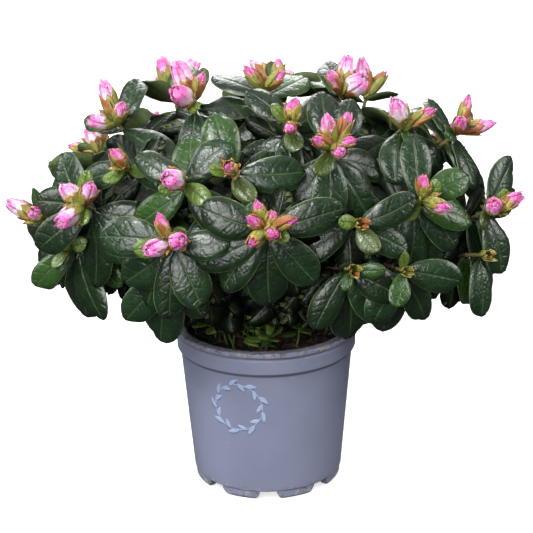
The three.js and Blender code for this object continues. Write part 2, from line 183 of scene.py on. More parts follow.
def chance(mass, shoot, item):
    """The repeatable number from 0 to 1 that the solids use: the fraction of a large sine."""
    wave = math.sin(mass * 12.9898 + shoot * 78.233 + item * 37.719 + 1) * 43758.5453
    return wave - math.floor(wave)


def bezier(controls, share):
    """Points (s, 3) of the quadratic curve through three controls, at shares (s,) of its length."""
    first, bow, last = np.asarray(controls, float)
    u = np.asarray(share, float)[:, None]
    return first * (1 - u) ** 2 + bow * 2 * u * (1 - u) + last * u**2


TRUNK_CURVE = np.array([
    (0, 0, TRUNK_FOOT),
    (0, 0, TRUNK_FOOT + TRUNK["height"] / 2),
    (-TRUNK["lean"], TRUNK["lean"], TRUNK_FOOT + TRUNK["height"]),
])


def trunk_radius(along):
    """A root flare that dies away as exp(-9 s), on top of an even taper."""
    flare = (TRUNK["flare_radius"] - TRUNK["base_radius"]) * np.exp(-9 * along)
    return mix((TRUNK["base_radius"], TRUNK["tip_radius"]), along) + flare


def level_way(azimuth):
    """The level unit vector that points along an azimuth in radians."""
    return np.array([math.cos(azimuth), math.sin(azimuth), 0])


def axis_at(tip):
    """Where a shoot's axis points: square to the facing ellipsoid, off the ridge, turned upwards."""
    origin = np.array([CROWN["centre"][0], -np.sign(tip[1]) * CROWN["ridge"], CROWN["centre"][2]])
    square = unit((np.array(tip, float) - origin) / np.array(CROWN["facing"], float) ** 2)
    return unit(square + UP * CROWN["lift"])


def back_masses():
    """The masses of the side that faces +Y: even steps of azimuth, with a shoot on each tier.

    A tip lies out by its tier's reach times sqrt(1 - rise^2), as on the crown's ellipsoid.
    """
    cx, _, cz = CROWN["centre"]
    rx, ry, rz = CROWN["reach"]
    masses = {}
    for i in range(BACK["masses"]):
        shoots = []
        for tier in BACK["tiers"]:
            if i % tier["every"]:
                continue
            azimuth = math.radians(BACK["first_azimuth"] + BACK["step"] * i + tier["turn"])
            rise = (tier["height"] - cz) / rz
            out = tier["reach"] * math.sqrt(1 - rise * rise)
            tip = (cx + rx * out * math.cos(azimuth), ry * out * math.sin(azimuth), tier["height"])
            clocks = [180 + 40 * i + GOLDEN_ANGLE * k for k in range(tier["leaves"])]
            shoots.append((tip, clocks, tier["buds"]))
        masses[f"back_{i + 1}"] = shoots
    return masses


def turn_between(a, b):
    """The angle between two azimuths, 0 to pi."""
    return abs(math.atan2(math.sin(a - b), math.cos(a - b)))


def mass_plans():
    """Each mass with its middle, its azimuth and the share of the stem's height it springs from.

    Masses are ranked by their middle's height less 0.75 of its distance from the axis, and each one
    springs a tier above the highest of the lower ones in its own sector.
    """
    plans = []
    for index, (name, shoots) in enumerate({**FRONT_MASSES, **back_masses()}.items()):
        middle = np.mean([tip for tip, _, _ in shoots], axis=0)
        azimuth = math.atan2(middle[1], middle[0])
        plans.append(dict(name=name, shoots=shoots, index=index, middle=middle, azimuth=azimuth))
    ranked = sorted(plans, key=lambda p: p["middle"][2] - 0.75 * math.hypot(*p["middle"][:2]))
    for rank, plan in enumerate(ranked):
        below = [
            other["tier"]
            for other in ranked[:rank]
            if turn_between(plan["azimuth"], other["azimuth"]) < math.radians(TRUNK["sector"])
        ]
        plan["tier"] = max([-1, *below]) + 1
    tiers = max(plan["tier"] for plan in plans)
    for plan in plans:
        plan["height"] = plan["tier"] / tiers
    return plans


def bough_curve(plan):
    """The controls of a bough: it leaves the bark, swings outwards and ends where its mass begins."""
    share = mix(TRUNK["boughs"], plan["height"])
    on_trunk = bezier(TRUNK_CURVE, [share])[0]
    out = level_way(plan["azimuth"])
    steep = mix(BOUGH["steep"], plan["height"])
    heading = unit(out + UP * steep)
    gap = CLEARANCE + BOUGH["base_radius"] * math.sin(math.atan(steep))
    start = on_trunk + out * (trunk_radius(share) + gap)
    reach = BOUGH["reach"] + 0.05 * chance(plan["index"], 3, 1)
    end = on_trunk + (plan["middle"] - on_trunk) * reach
    return np.array([start, start + heading * np.linalg.norm(end - start) * 0.5, end])


def round_axis(vector, axis, angle):
    """A vector square to a unit axis, turned round it by an angle in radians."""
    return vector * math.cos(angle) + np.cross(axis, vector) * math.sin(angle)


def leaf_frame(shoot, clock, tilt, down, length):
    """A leaf's place on its shoot: base, the directions along, side and face, and its sizes."""
    outward = round_axis(shoot["slope"], shoot["axis"], -math.radians(clock))
    lean = math.radians(tilt)
    droop = LEAF["droop"] * max(0, math.sin(lean))
    along = unit(shoot["axis"] * math.cos(lean) + outward * math.sin(lean) - UP * droop)
    side = unit(np.cross(along, shoot["axis"]))
    return dict(
        base=shoot["root_at"](down) - along * LEAF["sink"],
        along=along, side=side, face=unit(np.cross(side, along)),
        length=length, width=length * LEAF["width"], bend=math.radians(LEAF["bend"]),
    )


def half_width(share):
    """Half a leaf's width over its width: 1.31 t^0.9 (1 - t)^0.55, a wedge with a round tip."""
    share = np.clip(share, 0, 1)
    return 1.31 * share**0.9 * (1 - share) ** 0.55


def on_arc(leaf, share, aside, lift=0):
    """Points of a leaf: a share of the way along its arc, then aside and lifted square to the arc."""
    turn = leaf["bend"] * share
    ahead = leaf["length"] * np.sin(turn) / leaf["bend"] + lift * np.sin(turn)
    fall = leaf["length"] * (1 - np.cos(turn)) / leaf["bend"] - lift * np.cos(turn)
    ways = ((ahead, "along"), (-fall, "face"), (aside, "side"))
    return leaf["base"] + sum(far[..., None] * leaf[way] for far, way in ways)


def leaf_corners(leaf):
    """The tip and the four edge corners of the leaf's solid, which show whether it grew there."""
    share, sign = np.array([(1, 0), (0.4, -1), (0.82, -1), (0.82, 1), (0.4, 1)]).T
    lift = np.where(sign == 0, -0.04, -0.07) * leaf["width"]
    return on_arc(leaf, share, half_width(share) * 1.04 * leaf["width"] * sign, lift)


def leaf_middles(leaf):
    """Points down the middle and both halves of a leaf, which tell how much room it takes."""
    share, sign = (grid.ravel() for grid in np.meshgrid((0.3, 0.5, 0.7, 0.9), (-0.6, 0, 0.6)))
    return on_arc(leaf, share, sign * half_width(share) * leaf["width"])


def grown_shoot(fork, tip, index):
    """A shoot: the twig's curve from its mass's fork, its axis, its slope and where leaves root."""
    tip = np.array(tip, float)
    axis = axis_at(tip)
    slope = unit(UP - axis * axis[2])
    straight = min(TWIG["straight_tip"], np.linalg.norm(fork - tip) * 0.5)
    twig = np.array([fork, tip - axis * straight, tip])
    joints = bezier(twig, np.linspace(0, 1, TWIG["steps"] + 1))

    def root_at(down):
        """Where a leaf roots: a length down from the tip, on the straight steps of the twig."""
        place = TWIG["steps"] * max(0, 1 - down / (2 * straight))
        joint = min(int(place), TWIG["steps"] - 1)
        return joints[joint] + (joints[joint + 1] - joints[joint]) * (place - joint)

    return dict(tip=tip, axis=axis, slope=slope, twig=twig, root_at=root_at, index=index)


def wanted_leaves(clocks, mass, index):
    """The leaves that a shoot would like to grow, as (kind, clock, tilt, down, length)."""
    wanted = []

    def whorl(angles, rule, kind):
        """A whorl whose tilt, depth and size go evenly from its first leaf to its last."""
        for k, clock in enumerate(angles):
            along = k / (len(angles) - 1) if len(angles) > 1 else 0
            vary = 0.9 + 0.2 * chance(mass, index, kind * 20 + k)
            length = LEAF["length"] * mix(rule["share"], along) * vary
            wanted.append((kind, clock, mix(rule["tilt"], along), mix(rule["down"], along), length))

    small, under = WHORLS["small"], WHORLS["under"]
    whorl(clocks, WHORLS["broad"], 0)
    first = 360 * chance(mass, index, 91)
    whorl([first + GOLDEN_ANGLE * k for k in range(small["count"])], small, 1)
    first = 180 + 90 * chance(mass, index, 92)
    whorl([first + GOLDEN_ANGLE * k for k in range(under["count"])], under, 2)
    return wanted


def bud_frames(shoot, buds, mass):
    """The buds on a shoot's tip, at even angles round it and tilted out by a share of chance.

    Each has its start, its direction, its length and an opening from 0 to 1.
    """
    frames = []
    index = shoot["index"]
    for k in range(buds):
        spread = 0.35 + 0.65 * chance(mass, index, 60 + k) if buds > 1 else 0
        tilt = math.radians(mix(BUD["tilt"], spread))
        turn = math.radians(360 / buds * k + 360 * chance(mass, index, 50))
        outward = round_axis(shoot["slope"], shoot["axis"], turn)
        along = unit(shoot["axis"] * math.cos(tilt) + outward * math.sin(tilt))
        length = BUD["length"] * (0.75 + 0.5 * chance(mass, index, 70 + k))
        frames.append(dict(
            start=shoot["tip"] - along * BUD["sink"], along=along, length=length + BUD["sink"],
            axis=shoot["axis"], shoot=index, opening=chance(mass, index, 80 + k),
        ))
    return frames


def search_tree(places):
    """A tree that finds the nearest of some places."""
    tree = KDTree(len(places))
    for number, place in enumerate(places):
        tree.insert(place, number)
    tree.balance()
    return tree


def solid_corners(node):
    """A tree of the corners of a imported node, in millimetres."""
    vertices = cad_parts[node].data.vertices
    places = np.empty(len(vertices) * 3)
    vertices.foreach_get("co", places)
    return search_tree(places.reshape(-1, 3) / METRES)


def grew(leaf, corners):
    """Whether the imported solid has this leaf: three of its five corners are there."""
    return sum(corners.find(point)[2] < 0.12 for point in leaf_corners(leaf)) >= 3


@functools.lru_cache(maxsize=1)
def crown():
    """The whole crown: plans with boughs, shoots, buds and the leaves that found their space."""
    plans = mass_plans()
    for plan in plans:
        corners = solid_corners(f"foliage_{plan['name']}")
        plan["bough"] = bough_curve(plan)
        heading = unit(plan["bough"][2] - plan["bough"][1])
        foot = plan["bough"][2] + heading * CLEARANCE
        fork = foot + heading * (TWIG["fork"] * np.linalg.norm(foot - plan["middle"]) + 4)
        plan["stem"] = np.array([foot, (foot + fork) / 2, fork])
        plan["grown"], plan["leaves"], plan["buds"] = [], [], []
        for index, (tip, clocks, buds) in enumerate(plan["shoots"]):
            shoot = grown_shoot(fork - heading * 2, tip, index)
            plan["grown"].append(shoot)
            plan["buds"] += bud_frames(shoot, buds, plan["index"])
            wanted = wanted_leaves(clocks, plan["index"], index)
            for item, (kind, clock, tilt, down, length) in enumerate(wanted):
                for turn in TRIES:
                    leaf = leaf_frame(shoot, clock + turn, tilt + abs(turn) / 4, down, length)
                    if grew(leaf, corners):
                        leaf.update(kind=kind, item=item, shoot=index, mass=plan["index"])
                        plan["leaves"].append(leaf)
                        break
    return plans


def foliage_nodes(plans):
    """The names of the masses' nodes."""
    return [f"foliage_{plan['name']}" for plan in plans]


# ---- meshes worked out as whole arrays ----


def grid_quads(rows, columns, around=False):
    """Corner numbers of a grid's quads, row by row; around joins the last column to the first."""
    number = np.arange(rows * columns).reshape(rows, columns)
    if around:
        number = np.concatenate([number, number[:, :1]], axis=1)
    corners = (number[:-1, :-1], number[:-1, 1:], number[1:, 1:], number[1:, :-1])
    return np.stack(corners, axis=-1).reshape(-1, 4)


def in_scene(name, data):
    """A new object of the scene with this data."""
    made = bpy.data.objects.new(name, data)
    bpy.context.scene.collection.objects.link(made)
    return made


class Pile:
    """Points in millimetres and faces with finish numbers, gathered from many shapes for one piece."""

    def __init__(self):
        self.points, self.marks, self.faces, self.finishes, self.count = [], [], [], [], 0

    def add(self, points, faces, finishes=0, marks=None):
        """Adds points (n, 3) with faces (f, 3 or 4), and one finish number or one a face.

        marks (n, 3) say where each point lies on its blade, for finishes that follow the surface.
        """
        points = np.asarray(points, float).reshape(-1, 3)
        self.faces.append(np.asarray(faces) + self.count)
        self.finishes.append(np.broadcast_to(finishes, len(faces)))
        self.points.append(points)
        self.marks.append(np.zeros_like(points) if marks is None else marks)
        self.count += len(points)

    def cap(self, rim, middle, order=1, finish=0):
        """Closes a ring of point numbers with triangles to a middle; order -1 turns them round."""
        hub = np.full(len(rim), self.count)
        fan = np.stack([rim, np.roll(rim, -1), hub], axis=1)[:, ::order]
        self.add(middle, fan - self.count, finish)

    def tube(self, path, radii, sides=8, finish=0, relief=None):
        """A round limb: rings of the given radii square to the path, closed by a cap at each end.

        relief gives, for height along (n, 1) and angle (sides,), what the bark adds to the radius.
        """
        path = np.asarray(path, float)
        slope = unit(np.gradient(path, axis=0))
        start = UP if abs(slope[0][2]) < 0.9 else np.array([1.0, 0, 0])
        across = unit(start - slope * (slope @ start)[:, None])
        third = np.cross(slope, across)
        angle = turns(sides)
        steps = np.linalg.norm(np.diff(path, axis=0), axis=1)
        along = np.concatenate([[0], np.cumsum(steps)])[:, None]
        radius = np.asarray(radii, float)[:, None] + (relief(along, angle) if relief else 0 * angle)
        ring = across[:, None] * np.cos(angle)[:, None] + third[:, None] * np.sin(angle)[:, None]
        points = path[:, None] + ring * radius[..., None]
        first = self.count + np.arange(sides)
        self.add(points, grid_quads(len(path), sides, around=True), finish)
        self.cap(first, path[0], -1, finish)
        self.cap(first + (len(path) - 1) * sides, path[-1], 1, finish)

    def piece(self, name, finishes, nodes, slot):
        """Makes the Blender object, which rides on the plant's one body and stands for the nodes."""
        mesh = bpy.data.meshes.new(name)
        points = np.concatenate(self.points) * METRES
        corners = np.concatenate([faces.ravel() for faces in self.faces])
        sides = np.concatenate([np.full(len(faces), faces.shape[1]) for faces in self.faces])
        mesh.vertices.add(len(points))
        mesh.vertices.foreach_set("co", points.ravel())
        mesh.loops.add(len(corners))
        mesh.loops.foreach_set("vertex_index", corners.astype(np.int32))
        mesh.polygons.add(len(sides))
        mesh.polygons.foreach_set("loop_start", (np.cumsum(sides) - sides).astype(np.int32))
        mesh.polygons.foreach_set("material_index", np.concatenate(self.finishes).astype(np.int32))
        mesh.polygons.foreach_set("use_smooth", np.full(len(sides), True))
        mesh.update(calc_edges=True)
        marks = mesh.attributes.new("blade", "FLOAT_VECTOR", "POINT")
        marks.data.foreach_set("vector", np.concatenate(self.marks).ravel())
        mesh.validate()
        for finish in finishes:
            mesh.materials.append(finish)
        made = in_scene(name, mesh)
        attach(made, "root")
        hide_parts(*nodes)


def ripple(points, scale, seed, octaves=3):
    """Smooth noise from -1 to 1: sums of sines along fixed random directions, finer each octave."""
    rng = np.random.default_rng(seed)
    total, weight = 0, 0
    for octave in range(octaves):
        for _ in range(4):
            way = unit(rng.normal(size=3)) * 2 * math.pi / scale * 1.9**octave
            total = total + np.sin(points @ way + rng.uniform(0, 7)) * 0.55**octave
        weight += 2.2 * 0.55**octave
    return total / weight


def blade(rows, top, under, tip_point=True):
    """A thin closed blade's pattern, on rows along and columns across two layers that share rims.

    It gives arrays v (0 base to 1 tip), u (-1 to 1 across) and layer (0 top, 1 under) of the
    corners, and faces as (quads, triangles) with the column and layer of each face.
    """
    grids, places, face_sets = [], [], []
    share = np.linspace(0, 1, rows + 1)
    for layer, columns in enumerate((top, under)):
        columns = np.asarray(columns, float)
        v, u = np.meshgrid(share, columns, indexing="ij")
        rim = (np.abs(u) > 0.999) | (v < 1e-6) | (v > 1 - 1e-6)
        point = (v < 1e-6) | ((v > 1 - 1e-6) & tip_point)
        keys = np.stack([v, np.where(point, 0, u), np.where(rim, 0, layer)], axis=-1)
        offset = sum(len(grid) for grid in grids)
        grids.append(keys.reshape(-1, 3))
        quads = grid_quads(rows + 1, len(columns))
        face_sets.append(offset + (quads if layer == 0 else quads[:, ::-1]))
        middle = (columns[1:] + columns[:-1]) / 2
        row = (share[1:] + share[:-1]) / 2
        places.append(np.stack([
            np.repeat(row, len(middle)), np.tile(middle, rows), np.full(rows * len(middle), layer)
        ], axis=-1))
    if not tip_point:
        fans = blunt_tip(rows, len(top))
        face_sets[1] = np.concatenate([face_sets[1][:-2], fans])
        places[1] = np.concatenate([places[1][:-2], np.tile((share[-2], 0, 1), (len(fans), 1))])
    corners, number = np.unique(np.round(np.concatenate(grids), 6), axis=0, return_inverse=True)
    faces = number.ravel()[np.concatenate(face_sets)]
    places = np.concatenate(places)
    same = faces == np.roll(faces, -1, axis=1)
    quads = ~same.any(axis=1)
    thin = faces[~quads]
    keep = ~same[~quads]
    single = keep.sum(axis=1) == 3
    triangles = thin[single][keep[single]].reshape(-1, 3)
    return dict(
        v=corners[:, 0], u=corners[:, 1], layer=corners[:, 2],
        quads=faces[quads], triangles=triangles,
        quad_places=places[quads], triangle_places=places[~quads][single],
    )


def blunt_tip(rows, top):
    """Faces that join an under layer of three columns to every one of the top's corners at the tip.

    Each has three corners, with the last one doubled, as at a blade's point.
    """
    row = (rows + 1) * top + (rows - 1) * 3
    chain = np.concatenate([[row], rows * top + np.arange(top), [row + 2]])
    return np.stack([np.full(top + 1, row + 1), chain[:-1], chain[1:], chain[1:]], axis=1)


def add_blades(pile, pattern, points, finish_of):
    """Adds copies of a blade: points (copies, corners, 3), and finish_of(places) for its faces.

    finish_of gives finish numbers (copies, faces), or fewer of either where they are all the same.
    """
    copies, corners = points.shape[:2]
    shift = (pile.count + np.arange(copies) * corners)[:, None, None]
    marks = np.stack([pattern["u"], pattern["v"], pattern["layer"]], axis=-1)
    pile.add(points, np.empty((0, 4), int), marks=np.tile(marks, (copies, 1)))
    for kind in ("quads", "triangles"):
        faces = pattern[kind]
        finishes = np.broadcast_to(finish_of(pattern[f"{kind[:-1]}_places"]), (copies, len(faces)))
        pile.faces.append((faces[None] + shift).reshape(-1, faces.shape[1]))
        pile.finishes.append(finishes.ravel())


# ---- finishes ----


def linear(colour):
    """A colour given as 0 to 255 in display terms, in the linear terms that shaders use."""
    share = np.asarray(colour, float) / 255
    return tuple(np.where(share <= 0.04045, share / 12.92, ((share + 0.055) / 1.055) ** 2.4))


class Value:
    """A number socket: Python's arithmetic on it adds the Math nodes."""

    def __init__(self, finish, socket):
        self.finish, self.socket = finish, socket

    def maths(self, operation, *numbers):
        """The result of a Math node on these numbers and sockets."""
        return self.finish.value("ShaderNodeMath", dict(operation=operation), dict(enumerate(numbers)))

    def __add__(self, other):
        return self.maths("ADD", self, other)

    def __sub__(self, other):
        return self.maths("SUBTRACT", self, other)

    def __rsub__(self, other):
        return self.maths("SUBTRACT", other, self)

    def __mul__(self, other):
        return self.maths("MULTIPLY", self, other)

    def __pow__(self, other):
        return self.maths("POWER", self, other)

    def __abs__(self):
        return self.maths("ABSOLUTE", self)

    __radd__, __rmul__ = __add__, __mul__

    def wave(self):
        """The sine of this number in radians."""
        return self.maths("SINE", self)

    def least(self, other):
        """The smaller of this and another number."""
        return self.maths("MINIMUM", self, other)

    def most(self, other):
        """The larger of this and another number."""
        return self.maths("MAXIMUM", self, other)

    def rise(self, low, high, bottom=0, top=1):
        """A smooth step from bottom to top as this number goes from low to high."""
        return self.finish.value(
            "ShaderNodeMapRange",
            dict(interpolation_type="SMOOTHSTEP"),
            dict(enumerate((self, low, high, bottom, top))),
        )


class Finish:
    """A Principled material under construction, read in Object coordinates in metres."""

    def __init__(self, name, **constants):
        self.material = bpy.data.materials.new(name)
        self.material.use_nodes = True
        self.tree = self.material.node_tree
        self.tree.nodes.clear()
        self.shader = self.node("ShaderNodeBsdfPrincipled")
        output = self.node("ShaderNodeOutputMaterial")
        self.tree.links.new(self.shader.outputs[0], output.inputs["Surface"])
        self.place = self.node("ShaderNodeTexCoord").outputs["Object"]
        self.set(**constants)

    def node(self, kind, settings=None, sockets=None):
        """A node of a kind, with its settings first and then the values or links of its sockets."""
        node = self.tree.nodes.new(kind)
        for name, setting in (settings or {}).items():
            setattr(node, name, setting)
        for name, value in (sockets or {}).items():
            self.fill(node.inputs[name], value)
        return node

    def fill(self, socket, value):
        """Links a value to a socket, or sets it there where it is the same all over."""
        value = value.socket if isinstance(value, Value) else value
        if isinstance(value, bpy.types.NodeSocket):
            self.tree.links.new(value, socket)
        else:
            wide = socket.type == "RGBA" and len(value) == 3
            socket.default_value = (*value, 1) if wide else value

    def value(self, kind, settings=None, sockets=None, output=0):
        """A node's output as a number to reckon with."""
        return Value(self, self.node(kind, settings, sockets).outputs[output])

    def set(self, **sockets):
        """Fills sockets of the shader, named with _ for a space."""
        for name, value in sockets.items():
            self.fill(self.shader.inputs[name.replace("_", " ").title().replace("Ior", "IOR")], value)

    def noise(self, size, detail=2, roughness=0.5, stretch=None, warp=0):
        """Noise from 0 to 1 with features of a size in millimetres."""
        place = self.place
        if stretch:
            place = self.node("ShaderNodeMapping", None, {"Vector": place, "Scale": stretch}).outputs[0]
        sockets = {"Vector": place, "Scale": 1 / (size * METRES), "Detail": detail}
        sockets |= {"Roughness": roughness, "Distortion": warp}
        return self.value("ShaderNodeTexNoise", None, sockets, "Fac")

    def cells(self, size, feature="F1"):
        """Distance to the nearest of scattered points that lie a size in millimetres apart."""
        sockets = {"Vector": self.place, "Scale": 1 / (size * METRES)}
        return self.value("ShaderNodeTexVoronoi", dict(feature=feature), sockets, "Distance")

    def mix(self, share, first, second):
        """A colour between two, by a share."""
        node = self.node("ShaderNodeMix", dict(data_type="RGBA"))
        for name, value in (("Factor_Float", share), ("A_Color", first), ("B_Color", second)):
            self.fill(next(s for s in node.inputs if s.identifier == name), value)
        return next(s for s in node.outputs if s.identifier == "Result_Color")

    def shades(self, colour, share, dark=0.7, light=1.3):
        """A colour from darker to lighter by a share from 0 to 1."""
        base = np.asarray(colour)
        return self.mix(share, tuple(base * dark), tuple(np.minimum(base * light, 1)))

    def axis(self, name):
        """One coordinate of the place on the object, in millimetres."""
        node = self.node("ShaderNodeSeparateXYZ", None, {"Vector": self.place})
        return Value(self, node.outputs[name]) * (1 / METRES)

    def on_blade(self):
        """Where a point lies on its leaf or petal: across from -1 to 1, and along from 0 to 1."""
        marks = self.node("ShaderNodeAttribute", dict(attribute_name="blade")).outputs["Vector"]
        node = self.node("ShaderNodeSeparateXYZ", None, {"Vector": marks})
        return Value(self, node.outputs["X"]), Value(self, node.outputs["Y"])

    def bump(self, height, depth):
        """A surface raised by height (0 to 1) times a depth in millimetres."""
        sockets = {"Height": height, "Distance": depth * METRES, "Strength": 1}
        return self.node("ShaderNodeBump", None, sockets).outputs["Normal"]


# ---- sizes and colours that a user would change ----


def sized(name, description, default):
    """A length, given in millimetres."""
    return bpy.props.FloatProperty(
        name=name, description=description, default=default * METRES, unit="LENGTH", precision=5
    )


def counted(name, description, default):
    """A whole number."""
    return bpy.props.IntProperty(name=name, description=description, default=default, min=0)


def tinted(name, description, *value):
    """A colour, given as 0 to 255 in display terms."""
    return bpy.props.FloatVectorProperty(
        name=name, description=description, default=linear(value), subtype="COLOR", min=0, max=1
    )


class AZALEA_PG_sizes(bpy.types.PropertyGroup):
    """Sizes of the dressing that a user would change."""

    leaf_quilt: sized("Leaf quilting", "Depth of the sunken side veins", 0.5)
    leaf_groove: sized("Leaf groove", "Depth of the sunken middle vein", 0.5)
    leaf_thickness: sized("Leaf thickness", "Thickness of a leaf between its veins", 0.45)
    leaf_stalk: sized("Leaf stalk", "Half the width of a leaf's stalk", 0.8)
    inner_leaf: sized("Inner leaf", "Length of the leaves that fill the inside", 36)
    petal_thickness: sized("Petal thickness", "Thickness of a petal", 0.3)
    petal_ruffle: sized("Petal ruffle", "How far a petal's edge waves", 0.7)
    bark_relief: sized("Bark relief", "Height of the ridges in the bark", 0.35)
    soil_relief: sized("Soil relief", "Height of the lumps in the soil", 1.6)
    crumb: sized("Soil crumb", "Width of the larger crumbs of soil", 3.4)
    wreath_radius: sized("Wreath radius", "Radius of the printed ring of leaf marks", 16.5)
    wreath_height: sized("Wreath height", "Height of the middle of the printed ring", 68)
    inner_whorls: counted("Inner whorls", "Whorls of leaves tried on the lower part of each shoot", 6)
    sprouts: counted("Sprouts", "Number of fine sprouts between the sprigs", 18)
    crumbs: counted("Crumbs", "Number of loose crumbs on the soil", 1100)
    fibres: counted("Fibres", "Number of fibres on the soil", 160)


class AZALEA_PG_colours(bpy.types.PropertyGroup):
    """Colours that a user would change."""

    leaf_dark: tinted("Leaf, dark", "Most of the grown leaves", 19, 36, 17)
    leaf_deep: tinted("Leaf, deep", "Grown leaves with a bluer green", 23, 44, 23)
    leaf_green: tinted("Leaf, green", "Fresher grown leaves", 40, 68, 25)
    leaf_olive: tinted("Leaf, olive", "Leaves that turn towards yellow", 60, 76, 30)
    leaf_young: tinted("Leaf, young", "Small leaves beside the buds", 84, 106, 40)
    # Painted shade: a darker colour for the leaves deep inside the crown, where shade falls.
    leaf_shade: tinted("Leaf, shaded", "Leaves deep inside the crown", 14, 24, 10)
    # The margin's lighter colour is partly the leaf's own pale rim and partly a painted highlight along
    # its curled edge.
    leaf_margin: tinted("Leaf margin", "The thin rim of a leaf", 80, 100, 58)
    leaf_rib: tinted("Leaf rib", "The middle vein", 48, 66, 34)
    leaf_under: tinted("Leaf underside", "The matte underside of a leaf", 74, 88, 48)
    petal_white: tinted("Petal, white", "The foot of a petal", 252, 238, 240)
    petal_blush: tinted("Petal, blush", "Just above a petal's foot", 250, 208, 230)
    petal_pink: tinted("Petal, pink", "The middle of a petal", 246, 158, 210)
    petal_rose: tinted("Petal, rose", "The upper part of a petal", 236, 104, 180)
    petal_deep: tinted("Petal, deep", "A petal's tip and rims", 216, 62, 146)
    scale_green: tinted("Bud scale, green", "Fresh scales round a bud", 132, 140, 64)
    scale_straw: tinted("Bud scale, straw", "Pale dry scales round a bud", 176, 162, 92)
    scale_rust: tinted("Bud scale, rust", "Withered scales round a bud", 148, 92, 52)
    bark: tinted("Bark", "Stem, boughs and twigs", 72, 47, 36)
    shoot: tinted("Young shoot", "The last part of each twig", 112, 108, 62)
    soil: tinted("Soil", "Damp potting soil", 31, 21, 16)
    fibre: tinted("Fibre", "Fibres in the soil", 84, 56, 38)
    sprig: tinted("Sprig", "Low leaves that spring from the soil", 70, 96, 30)
    pot: tinted("Pot", "Moulded pot", 124, 129, 152)
    dirt: tinted("Dirt", "Dried soil that clings to the pot", 176, 164, 146)
    print: tinted("Print", "The printed ring on the pot", 154, 169, 200)
    floor: tinted("Floor", "Studio floor", 196, 196, 196)


def sizes():
    """The sizes in force."""
    return bpy.context.scene.azalea_sizes


def in_mm(name):
    """A length in force, in millimetres."""
    return getattr(sizes(), name) / METRES


def colours(name):
    """A colour in force."""
    return tuple(getattr(bpy.context.scene.azalea_colours, name))


def lighter(name, by):
    """A colour in force, times a number."""
    return tuple(np.asarray(colours(name)) * by)


# ---- leaves ----

# The distances across, in half widths, at which a leaf's thin margin begins and its rib ends.
MARGIN_FROM, RIB_TO = 0.945, 0.04
LEAF_TOP = (-1, -MARGIN_FROM, -0.5, -RIB_TO, RIB_TO, 0.5, MARGIN_FROM, 1)
UNDER = (-1, 0, 1)
SIDE_VEINS = 5
LEAF_ROWS = 2 * SIDE_VEINS
PLAIN_LEAF_TOP = (-1, -0.05, 0.05, 1)
PLAIN_LEAF_ROWS = 6
PLAIN_RELIEF = 0.6
# The limits between which a leaf's dome, rim wave, twist, sideways bend and wave's phase are drawn.
LEAF_CHANCES = ((0.16, 0.46), (-0.055, 0.055), (-0.3, 0.3), (-0.05, 0.05), (0, 2 * math.pi))
INNER = dict(kind=3, tilt=(62, 92), first=20, step=5.5, leaves=5, lowest=124, room=2.3)
LEAF_TONES = ("leaf_dark", "leaf_deep", "leaf_green", "leaf_olive", "leaf_young", "leaf_shade")
# For each kind of leaf: the limits of chance, and the tone below, between and above them.
LEAF_LUCK = (
    ((0.56, 0.86), (0, 1, 2)),
    ((0.45, 0.6), (4, 3, 2)),
    ((0.3, 0.62), (0, 1, 2)),
    # The inner leaves always take leaf_shade, a painted shade.
    ((), (5,)),
)
MARGIN_TONE, RIB_TONE, UNDER_TONE = (len(LEAF_TONES) + k for k in range(3))


def gather(leaves, key):
    """One field of all leaves as an array with room for the blade's corners."""
    values = np.array([leaf[key] for leaf in leaves], float)
    return values[:, None] if values.ndim == 1 else values[:, None, :]


def outline(t):
    """Half a grown leaf's width over its width: 1.22 t^0.82 (1 - t)^0.52, widest past its middle."""
    return 1.22 * t**0.82 * (1 - t) ** 0.52


def leaf_points(leaves, pattern, rng, relief=1.0):
    """Corners (leaves, corners, 3) of leaves that bend along an arc and bulge between their veins.

    Rows gather towards the tip as w = 0.6 v + 0.4 sin(90 v), and t = w + 0.8 |u|^1.2 w (1 - w), so
    that they sweep forward as the side veins do. A point lies t along the leaf's arc and u half
    widths aside. Its lift is a dome that falls to the rims, less a groove on the middle vein and a
    valley on each side vein, plus a wave along the rims and a slight twist. The under layer lies a
    thickness lower, and lower still on the rib.
    """
    v, u, layer = pattern["v"], pattern["u"], pattern["layer"]
    number = len(leaves)
    size = gather(leaves, "width") * rng.uniform(0.76, 1.02, (number, 1))
    long = gather(leaves, "length") * rng.uniform(0.9, 1.02, (number, 1))
    dome, wave, twist, aside, phase = (rng.uniform(*limits, (number, 1)) for limits in LEAF_CHANCES)
    side = np.abs(u)
    w = 0.6 * v + 0.4 * np.sin(math.pi / 2 * v)
    t = np.clip(w + 0.8 * side**1.2 * w * (1 - w), 0, 1)
    stalk = in_mm("leaf_stalk") * np.sqrt(1 - t) * np.minimum(t / 0.04, 1) * long / LEAF["length"]
    half = np.hypot(outline(t) * size, stalk)
    fine = long / LEAF["length"] * relief
    valley = 0.325 + 0.675 * np.cos(2 * math.pi * SIDE_VEINS * v)
    ends = np.sin(math.pi * np.clip(v, 0, 1)) ** 0.5
    inside = np.clip(side, 0, 1) ** 0.5 * (1 - side**6) * ends
    lift = size * (0.75 * dome * side - dome * side**2)
    lift = lift - in_mm("leaf_quilt") * fine * valley * inside
    groove = np.exp(-((u / 0.08) ** 2)) * np.minimum(8 * v * (1 - v), 1)
    lift = lift - in_mm("leaf_groove") * fine * groove
    lift = lift + size * side**2 * wave * np.sin(9 * t + phase + 1.5 * u)
    lift = lift + size * twist * u * t * 0.5
    lift = lift - in_mm("leaf_thickness") * fine * (1 + 1.3 * (side < 0.2)) * ends * layer
    arcs = {key: gather(leaves, key) for key in ("base", "along", "face", "side", "bend")}
    return on_arc(dict(arcs, length=long), t, u * half + aside * long * np.sin(math.pi * t), lift)


